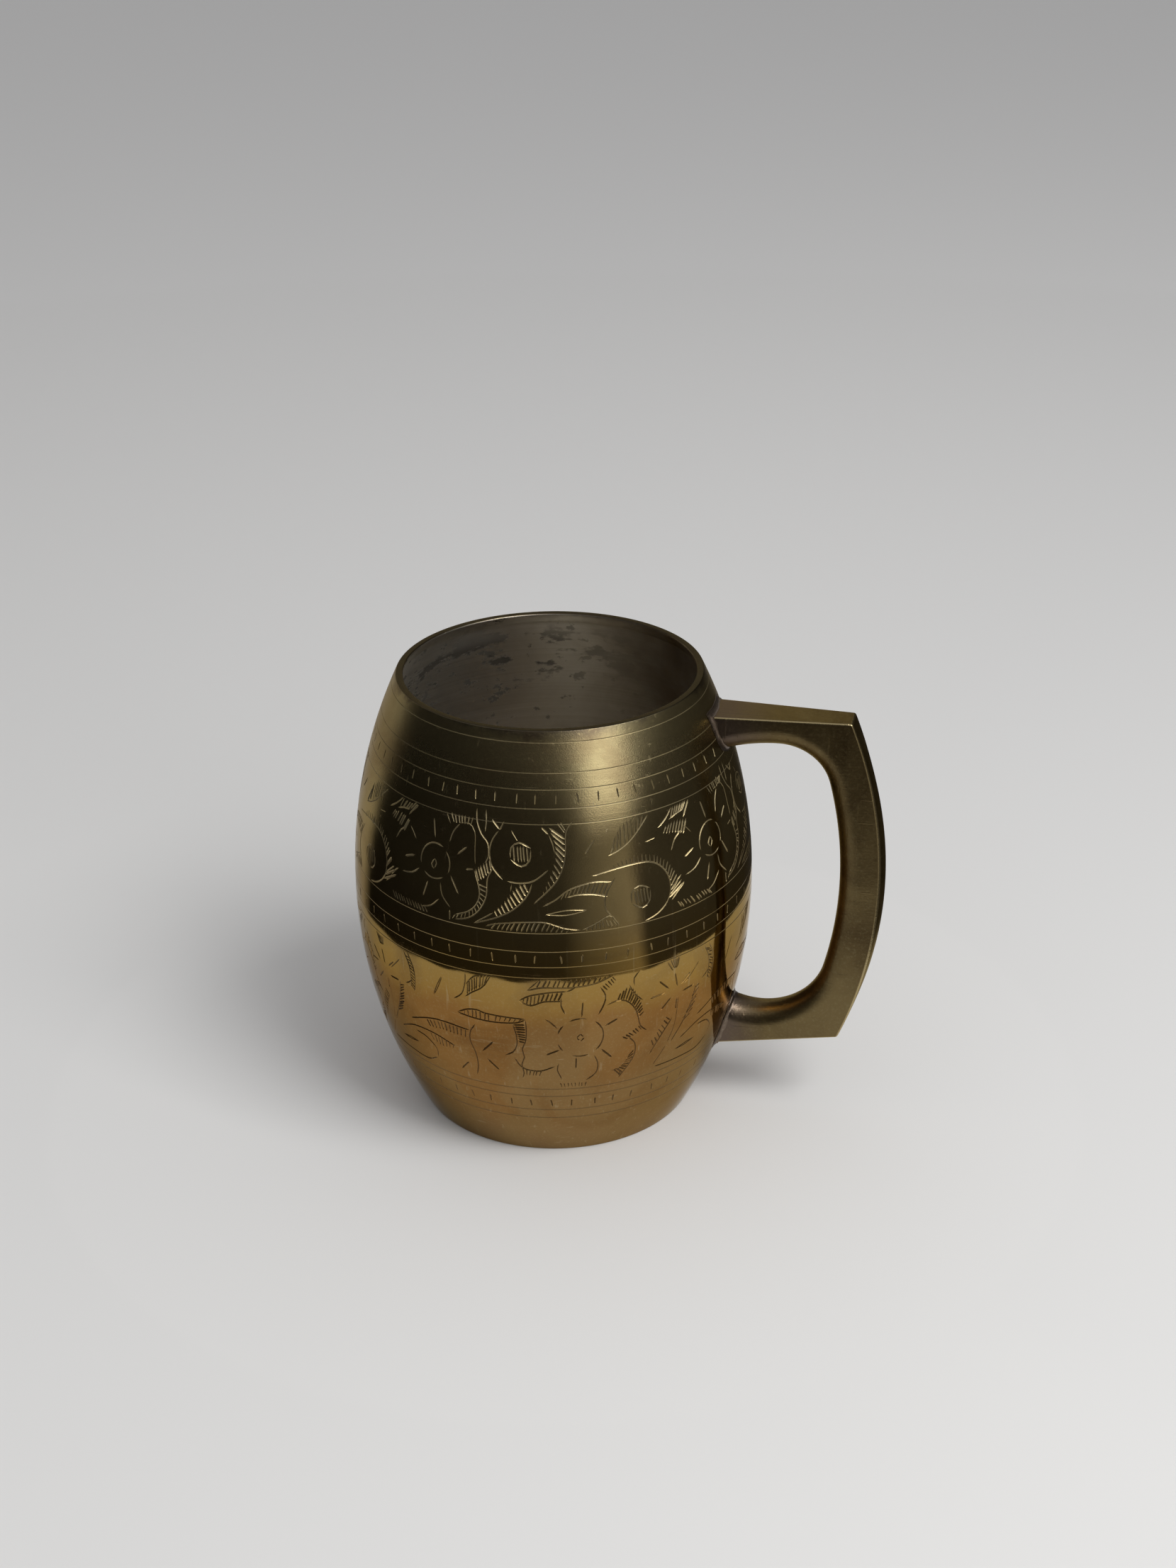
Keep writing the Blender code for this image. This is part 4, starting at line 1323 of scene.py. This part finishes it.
def ramp(tree, source, stops):
    """A colour ramp on a value; stops are (place, colour)."""
    node = tree.nodes.new("ShaderNodeValToRGB")
    elements = node.color_ramp.elements
    while len(elements) > len(stops):
        elements.remove(elements[-1])
    while len(elements) < len(stops):
        elements.new(1.0)
    for element, (place, colour) in zip(elements, stops):
        element.position = place
        element.color = (*colour, 1.0)
    tree.links.new(source, node.inputs["Fac"])
    return node.outputs["Color"]


def spread(tree, source, low, high, to_low=0.0, to_high=1.0):
    """Maps a value's range to another, clamped."""
    node = tree.nodes.new("ShaderNodeMapRange")
    for name, value in (("From Min", low), ("From Max", high), ("To Min", to_low), ("To Max", to_high)):
        node.inputs[name].default_value = value
    tree.links.new(source, node.inputs["Value"])
    return node.outputs["Result"]


def math_node(tree, operation, first, second):
    """Two sockets or numbers through one operation."""
    node = tree.nodes.new("ShaderNodeMath")
    node.operation = operation
    for socket, value in zip(node.inputs, (first, second)):
        if isinstance(value, (int, float)):
            socket.default_value = value
        else:
            tree.links.new(value, socket)
    return node.outputs["Value"]


def times(tree, first, second):
    """The product of two sockets or numbers."""
    return math_node(tree, "MULTIPLY", first, second)


def plus(tree, first, second):
    """The sum of two sockets or numbers."""
    return math_node(tree, "ADD", first, second)


# Sockets of a colour mix: its factor and its two colours, and its result
MIX_INPUTS = (0, 6, 7)
MIX_RESULT = 2


def mix(tree, factor, first, second):
    """Mixes two colours by a factor socket."""
    node = tree.nodes.new("ShaderNodeMix")
    node.data_type = "RGBA"
    for index, value in zip(MIX_INPUTS, (factor, first, second)):
        if isinstance(value, tuple):
            node.inputs[index].default_value = (*value, 1.0)
        else:
            tree.links.new(value, node.inputs[index])
    return node.outputs[MIX_RESULT]


def noise(tree, vector, scale, detail=4.0, roughness=0.55, distortion=0.0):
    """A cloudy value over the piece."""
    values = {"Scale": scale, "Detail": detail, "Roughness": roughness, "Distortion": distortion}
    node = add_node(tree, "ShaderNodeTexNoise", **values)
    tree.links.new(vector, node.inputs["Vector"])
    return node.outputs["Fac"]


def stretched(tree, vector, scale, turned=(0.0, 0.0, 0.0)):
    """Coordinates scaled by axis and turned, for streaks."""
    node = tree.nodes.new("ShaderNodeMapping")
    node.inputs["Scale"].default_value = scale
    node.inputs["Rotation"].default_value = turned
    tree.links.new(vector, node.inputs["Vector"])
    return node.outputs["Vector"]


def axis(tree, vector, name):
    """One coordinate of a vector."""
    split = tree.nodes.new("ShaderNodeSeparateXYZ")
    tree.links.new(vector, split.inputs["Vector"])
    return split.outputs[name]


def new_group(name, outputs):
    """A node group that takes a vector; gives its tree, that vector and its output node."""
    tree = bpy.data.node_groups.new(name, "ShaderNodeTree")
    tree.interface.new_socket("Vector", in_out="INPUT", socket_type="NodeSocketVector")
    for socket, kind in outputs:
        tree.interface.new_socket(socket, in_out="OUTPUT", socket_type=kind)
    vector = tree.nodes.new("NodeGroupInput").outputs["Vector"]
    return tree, vector, tree.nodes.new("NodeGroupOutput")


AGE_MARKS = ("Blotch", "Grain", "Lines", "Scratch")


def make_wear_group():
    """Marks of age that every metal here shares: blotches, grain, lathe lines and stray scratches."""
    tree, vector, result = new_group("metal_age", [(mark, "NodeSocketFloat") for mark in AGE_MARKS])
    upright = stretched(tree, vector, (900.0, 900.0, 26.0), (0.5, 0.3, 0.2))
    slanting = stretched(tree, vector, (30.0, 700.0, 1100.0), (0.2, -0.6, 0.7))
    turned = stretched(tree, vector, (14.0, 14.0, 1900.0))
    first = spread(tree, noise(tree, upright, 1.0, detail=2.0), 0.66, 0.74)
    second = spread(tree, noise(tree, slanting, 1.0, detail=2.0), 0.68, 0.76)
    marks = (
        noise(tree, vector, 38.0, detail=6.0, roughness=0.6, distortion=0.6),
        noise(tree, vector, 1500.0, detail=3.0, roughness=0.6),
        noise(tree, turned, 1.0, detail=3.0, roughness=0.6),
        math_node(tree, "MAXIMUM", first, second),
    )
    for name, mark in zip(AGE_MARKS, marks):
        tree.links.new(mark, result.inputs[name])
    return tree


def make_tin_group(age):
    """Wiped tin: turning lines, a burnt tide line below the rim, and painted brown shade on its +X side."""
    outputs = [("Colour", "NodeSocketColor"), ("Burnt", "NodeSocketFloat")]
    tree, place, result = new_group("wiped_tin_finish", outputs)
    marks = tree.nodes.new("ShaderNodeGroup")
    marks.node_tree = age
    tree.links.new(place, marks.inputs["Vector"])
    lines, blotch = marks.outputs["Lines"], marks.outputs["Blotch"]
    across, height = axis(tree, place, "X"), axis(tree, place, "Z")
    side = spread(tree, across, 0.016, -0.016, 0.05, 1.0)
    tide = spread(tree, height, 0.1135, 0.108, 0.2, 1.0)
    tide = times(tree, times(tree, spread(tree, height, 0.092, 0.100), tide), side)
    upper = times(tree, spread(tree, height, 0.060, 0.090), side)
    wiped = stretched(tree, place, (85.0, 85.0, 170.0))
    smudges = noise(tree, wiped, 1.0, detail=9.0, roughness=0.62, distortion=0.1)
    splashed = stretched(tree, place, (190.0, 190.0, 260.0))
    spots = noise(tree, splashed, 1.0, detail=5.0, roughness=0.6)
    smudged = times(tree, spread(tree, smudges, 0.53, 0.58), tide)
    spotted = times(tree, spread(tree, spots, 0.60, 0.64, 0.0, 0.8), upper)
    burnt = math_node(tree, "MAXIMUM", smudged, spotted)
    # Painted shade: the tin's +X side is darkened to brown, blotched
    shaded_side = spread(tree, across, -0.004, 0.026)
    arris_wear_or_tin_shade = times(tree, shaded_side, spread(tree, blotch, 0.2, 0.6, 0.6, 0.95))
    colour = mix(tree, spread(tree, lines, 0.3, 0.75), TIN, TURNED_TIN)
    colour = mix(tree, spread(tree, blotch, 0.42, 0.7, 0.0, 0.4), colour, DULL_TIN)
    colour = mix(tree, arris_wear_or_tin_shade, colour, SHADED_TIN)
    colour = mix(tree, times(tree, burnt, 0.85), colour, BURNT_TIN)
    tree.links.new(colour, result.inputs["Colour"])
    tree.links.new(burnt, result.inputs["Burnt"])
    return tree


class Metal:
    """A metal under construction: its tree, its shader and the shared marks of age."""

    def __init__(self, name, age_group):
        self.material = bpy.data.materials.new(name)
        self.material.use_nodes = True
        self.tree = self.material.node_tree
        self.shader = self.tree.nodes["Principled BSDF"]
        self.shader.inputs["Metallic"].default_value = 1.0
        self.place = self.tree.nodes.new("ShaderNodeTexCoord").outputs["Object"]
        self.blotch, self.grain, self.lines, self.scratch = self.group(age_group, *AGE_MARKS)

    def group(self, tree, *outputs):
        """Places a node group on this piece's own coordinates and gives the named outputs."""
        node = self.tree.nodes.new("ShaderNodeGroup")
        node.node_tree = tree
        self.tree.links.new(self.place, node.inputs["Vector"])
        return [node.outputs[name] for name in outputs]

    def axis(self, name):
        """One of the piece's own coordinates."""
        return axis(self.tree, self.place, name)

    def attribute(self, name):
        """A value that the mesh carries at its points."""
        return add_node(self.tree, "ShaderNodeAttribute", attribute_name=name).outputs["Fac"]

    def colour(self, socket):
        """Sets the colour of the metal."""
        self.tree.links.new(socket, self.shader.inputs["Base Color"])

    def roughness(self, base, *marks):
        """Roughness as a base and (mark, strength) pairs."""
        total = base
        for mark, strength in marks:
            total = plus(self.tree, times(self.tree, mark, strength), total)
        self.tree.links.new(total, self.shader.inputs["Roughness"])

    def bump(self, height, distance):
        """Fine relief: a height from 0 to 1 over a distance in metres."""
        node = add_node(self.tree, "ShaderNodeBump", Distance=distance)
        self.tree.links.new(height, node.inputs["Height"])
        self.tree.links.new(node.outputs["Normal"], self.shader.inputs["Normal"])


def make_barrel_brass(age, tin):
    """Brass that is golden and bright below the belly, and satin and greener towards the rim; the golden band
    is a painted reflection, the darker copper under it painted shade.
    """
    metal = Metal("aged_barrel_brass", age)
    tree, place = metal.tree, metal.place
    shift = spread(tree, metal.blotch, 0.3, 0.7, -0.003, 0.003)
    level = spread(tree, plus(tree, metal.axis("Z"), shift), 0.0, MUG_HEIGHT)
    tarnish = spread(tree, metal.blotch, 0.45, 0.63, 0.0, 0.5)
    # Colour by height, with the painted reflection band below the belly and the painted shade under it
    colour = mix(tree, tarnish, ramp(tree, level, BARREL_TONES_WITH_PAINTED_REFLECTION), ramp(tree, level, TARNISH_SHADES))
    clouds = noise(tree, place, 27.0, detail=3.0, roughness=0.6, distortion=0.8)
    golden = spread(tree, level, 0.46, 0.30, 0.0, 0.55)
    colour = mix(tree, times(tree, spread(tree, clouds, 0.47, 0.60), golden), colour, CLOUDED_BRASS)
    flecked = spread(tree, level, 0.60, 0.92, 0.22, 0.40)
    flecks = times(tree, spread(tree, metal.grain, 0.54, 0.76), flecked)
    colour = mix(tree, flecks, colour, FLECK)
    colour = mix(tree, times(tree, metal.scratch, 0.22), colour, SCRATCH)
    cut = spread(tree, metal.attribute("cut"), 0.02, 0.35)
    # Cuts are filled by height with dirt and painted light: painted shade below the belly and near the rim, a
    # painted highlight in the upper belt
    dirt_and_shade_fill = spread(tree, noise(tree, place, 90.0, detail=4.0, roughness=0.7), 0.36, 0.66, 0.15, 0.8)
    dirt_and_shade_fill = math_node(tree, "MAXIMUM", dirt_and_shade_fill, spread(tree, level, 0.54, 0.46, 0.0, 0.62))
    colour = mix(tree, times(tree, cut, dirt_and_shade_fill), colour, ramp(tree, level, CUT_DIRT_AND_LIGHT_SHADES))
    tinned = metal.attribute("tinned")
    colour = mix(tree, tinned, colour, metal.group(tin, "Colour")[0])
    # The lip's top and the top of its round are coloured near black
    lip = spread(tree, metal.axis("Z"), MUG_HEIGHT - DARK_LIP_START, MUG_HEIGHT - DARK_LIP_FULL)
    metal.colour(mix(tree, lip, colour, DARK_LIP_TOP))
    satin = spread(tree, level, 0.56, 0.95, 0.035, 0.26)
    uneven = times(tree, metal.grain, spread(tree, level, 0.56, 0.95, 0.03, 0.07))
    marks = ((uneven, 1.0), (metal.scratch, 0.10), (tarnish, 0.06), (cut, 0.26), (tinned, 0.06))
    metal.roughness(satin, *marks)
    tree.links.new(spread(tree, cut, 0.0, 1.0, 1.0, 0.75), metal.shader.inputs["Metallic"])
    metal.shader.inputs["Specular Tint"].default_value = BARREL_SHEEN
    ripple = times(tree, noise(tree, place, 55.0, detail=1.0), 12.0)
    turned = times(tree, metal.lines, spread(tree, level, 0.6, 0.95, 0.03, 0.8))
    frost = noise(tree, place, 3400.0, detail=2.0)
    sparkle = times(tree, frost, spread(tree, level, 0.55, 0.95, 0.03, 1.2))
    metal.bump(plus(tree, plus(tree, turned, sparkle), ripple), 0.00002)
    return metal.material


def make_cast_brass(age):
    """Dark cast brass with file marks, heat tint near the barrel and bare worn arrises."""
    metal = Metal("filed_cast_brass", age)
    tree = metal.tree
    colour = mix(tree, spread(tree, metal.blotch, 0.40, 0.62), CAST_BRASS, DARK_CAST)
    colour = mix(tree, spread(tree, metal.grain, 0.5, 0.8, 0.0, 0.4), colour, CAST_GRAIN)
    near_root = spread(tree, metal.axis("X"), *HEAT_REACH)
    heated = times(tree, near_root, spread(tree, metal.blotch, 0.35, 0.6, 0.5, 0.9))
    colour = mix(tree, heated, colour, HEAT_TINT)
    arris_wear_or_tin_shade = metal.attribute("arris_wear_or_tin_shade")
    metal.colour(mix(tree, arris_wear_or_tin_shade, colour, WORN_ARRIS))
    metal.shader.inputs["Specular Tint"].default_value = CAST_SHEEN
    metal.roughness(0.27, (metal.grain, 0.12), (metal.scratch, 0.1), (arris_wear_or_tin_shade, -0.08))
    filed = times(tree, metal.lines, 0.7)
    metal.bump(plus(tree, plus(tree, metal.grain, metal.scratch), filed), 0.00003)
    return metal.material


def make_braze_brass(age):
    """Grainy braze, tinted by heat."""
    metal = Metal("heat_tinted_braze", age)
    tree = metal.tree
    colour = mix(tree, spread(tree, metal.blotch, 0.4, 0.65), BRAZE, DARK_BRAZE)
    metal.colour(mix(tree, spread(tree, metal.grain, 0.5, 0.75, 0.0, 0.5), colour, BRAZE_GRAIN))
    metal.roughness(0.3, (metal.grain, 0.2))
    metal.bump(metal.grain, 0.00008)
    return metal.material


def make_tin(age, tin):
    """The lining's tin, with fine turning lines."""
    metal = Metal("wiped_tin", age)
    wiped, burnt = metal.group(tin, "Colour", "Burnt")
    metal.colour(wiped)
    metal.roughness(0.34, (metal.lines, 0.1), (burnt, 0.2))
    metal.bump(metal.lines, 0.00003)
    return metal.material


def make_plate_brass(age):
    """Plain brass of the bottom disc."""
    metal = Metal("turned_plate_brass", age)
    metal.colour(mix(metal.tree, spread(metal.tree, metal.blotch, 0.35, 0.7), PLATE, DARK_PLATE))
    metal.roughness(0.34, (metal.grain, 0.15))
    metal.bump(metal.grain, 0.00004)
    return metal.material


def make_solder_metal(age):
    """Dull grey solder."""
    metal = Metal("dull_solder", age)
    metal.colour(mix(metal.tree, metal.blotch, SOLDER, DARK_SOLDER))
    metal.roughness(0.4, (metal.grain, 0.15))
    return metal.material


# Floor, light and camera


def put_on_stage(bm, name, material_name, roughness):
    """A piece of the stage with a plain material; gives the piece and its material's tree and shader."""
    piece = bpy.data.objects.new(name, mesh_from(bm, name))
    bpy.context.scene.collection.objects.link(piece)
    material = bpy.data.materials.new(material_name)
    material.use_nodes = True
    shader = material.node_tree.nodes["Principled BSDF"]
    shader.inputs["Roughness"].default_value = roughness
    piece.data.materials.append(material)
    return piece, material.node_tree, shader


def make_floor():
    """A plain pale floor."""
    bm = bmesh.new()
    bmesh.ops.create_circle(bm, cap_ends=True, radius=FLOOR_RADIUS, segments=STAGE_STEPS)
    floor, _, shader = put_on_stage(bm, "studio_floor", "pale_floor", FLOOR_ROUGHNESS)
    shader.inputs["Base Color"].default_value = FLOOR_COLOUR


def make_dark_card():
    """A card round the mug, seen only in the metal, as polished ware is photographed: a painted reflection,
    dark in front with a pale strip at the front right.
    """
    bm = bmesh.new()
    chain = [CARD_CENTRE + Vector((radius, 0.0, height)) for radius, height in CARD_PROFILE]
    spin_chain(bm, chain, CARD_CENTRE, STAGE_STEPS)
    card, tree, shader = put_on_stage(bm, "dark_card", "dark_card", CARD_ROUGHNESS)
    place = tree.nodes.new("ShaderNodeTexCoord").outputs["Object"]
    bearing = add_node(tree, "ShaderNodeTexGradient", gradient_type="RADIAL")
    tree.links.new(place, bearing.inputs["Vector"])
    shade = ramp(tree, bearing.outputs["Fac"], CARD_PAINTED_REFLECTIONS)
    tree.links.new(shade, shader.inputs["Base Color"])
    for kind in ("camera", "diffuse", "transmission", "volume_scatter", "shadow"):
        setattr(card, "visible_" + kind, False)


def make_world():
    """Even grey surroundings, a little darker above the horizon."""
    world = bpy.data.worlds.new("studio")
    bpy.context.scene.world = world
    world.use_nodes = True
    tree = world.node_tree
    direction = tree.nodes.new("ShaderNodeTexCoord").outputs["Generated"]
    upwards = spread(tree, axis(tree, direction, "Z"), *SURROUND_SPAN)
    shade = ramp(tree, upwards, SURROUND_SHADES)
    tree.links.new(shade, tree.nodes["Background"].inputs["Color"])


def make_lamp(name, azimuth, elevation, distance, size, power):
    """A soft panel that looks at the mug."""
    light = bpy.data.lights.new(name, "AREA")
    light.shape = "RECTANGLE"
    light.size, light.size_y = size
    light.energy = power
    lamp = bpy.data.objects.new(name, light)
    a, e = math.radians(azimuth), math.radians(elevation)
    towards = Vector((math.sin(a) * math.cos(e), -math.cos(a) * math.cos(e), math.sin(e)))
    lamp.location = distance * towards
    lamp.rotation_euler = (lamp.location - LAMP_AIM).to_track_quat("Z", "Y").to_euler()
    lamp.visible_camera = False
    bpy.context.scene.collection.objects.link(lamp)


def make_camera():
    """The photo's point of view."""
    data = bpy.data.cameras.new("photo_view")
    data.lens = FOCAL_PIXELS / max(IMAGE_SIZE) * data.sensor_width
    data.clip_start = CAMERA_CLIP
    camera = bpy.data.objects.new("photo_view", data)
    azimuth = math.radians(CAMERA_AZIMUTH)
    heading = Matrix.Rotation(azimuth - math.radians(CAMERA_YAW), 4, "Z")
    tilt = Matrix.Rotation(math.pi / 2 - math.radians(CAMERA_PITCH), 4, "X")
    roll = Matrix.Rotation(math.radians(CAMERA_ROLL), 4, "Z")
    place = (CAMERA_DISTANCE * math.sin(azimuth), -CAMERA_DISTANCE * math.cos(azimuth), CAMERA_HEIGHT)
    camera.matrix_world = Matrix.Translation(place) @ heading @ tilt @ roll
    bpy.context.scene.collection.objects.link(camera)
    bpy.context.scene.camera = camera


def main():
    """Dresses the seven nodes, then sets the stage, the light and the camera."""
    bpy.context.scene.view_settings.view_transform = "Standard"
    age = make_wear_group()
    tin = make_tin_group(age)
    braze = make_braze_brass(age)
    stand_in_for(make_barrel(make_barrel_brass(age, tin)), "barrel_body")
    stand_in_for(make_lining(make_tin(age, tin)), "tin_lining")
    stand_in_for(make_bottom(make_plate_brass(age)), "base_disc")
    stand_in_for(make_handle(make_cast_brass(age)), "handle")
    upper = make_braze("upper_braze", upper_arm, UPPER_BRAZE_PHASE, braze)
    lower = make_braze("lower_braze", lower_arm, LOWER_BRAZE_PHASE, braze)
    stand_in_for(upper, "upper_braze_fillet")
    stand_in_for(lower, "lower_braze_fillet")
    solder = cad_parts["base_solder_ring"]
    solder.data.materials.clear()
    solder.data.materials.append(make_solder_metal(age))
    make_floor()
    make_dark_card()
    make_world()
    for lamp in LAMPS:
        make_lamp(*lamp)
    make_camera()


main()
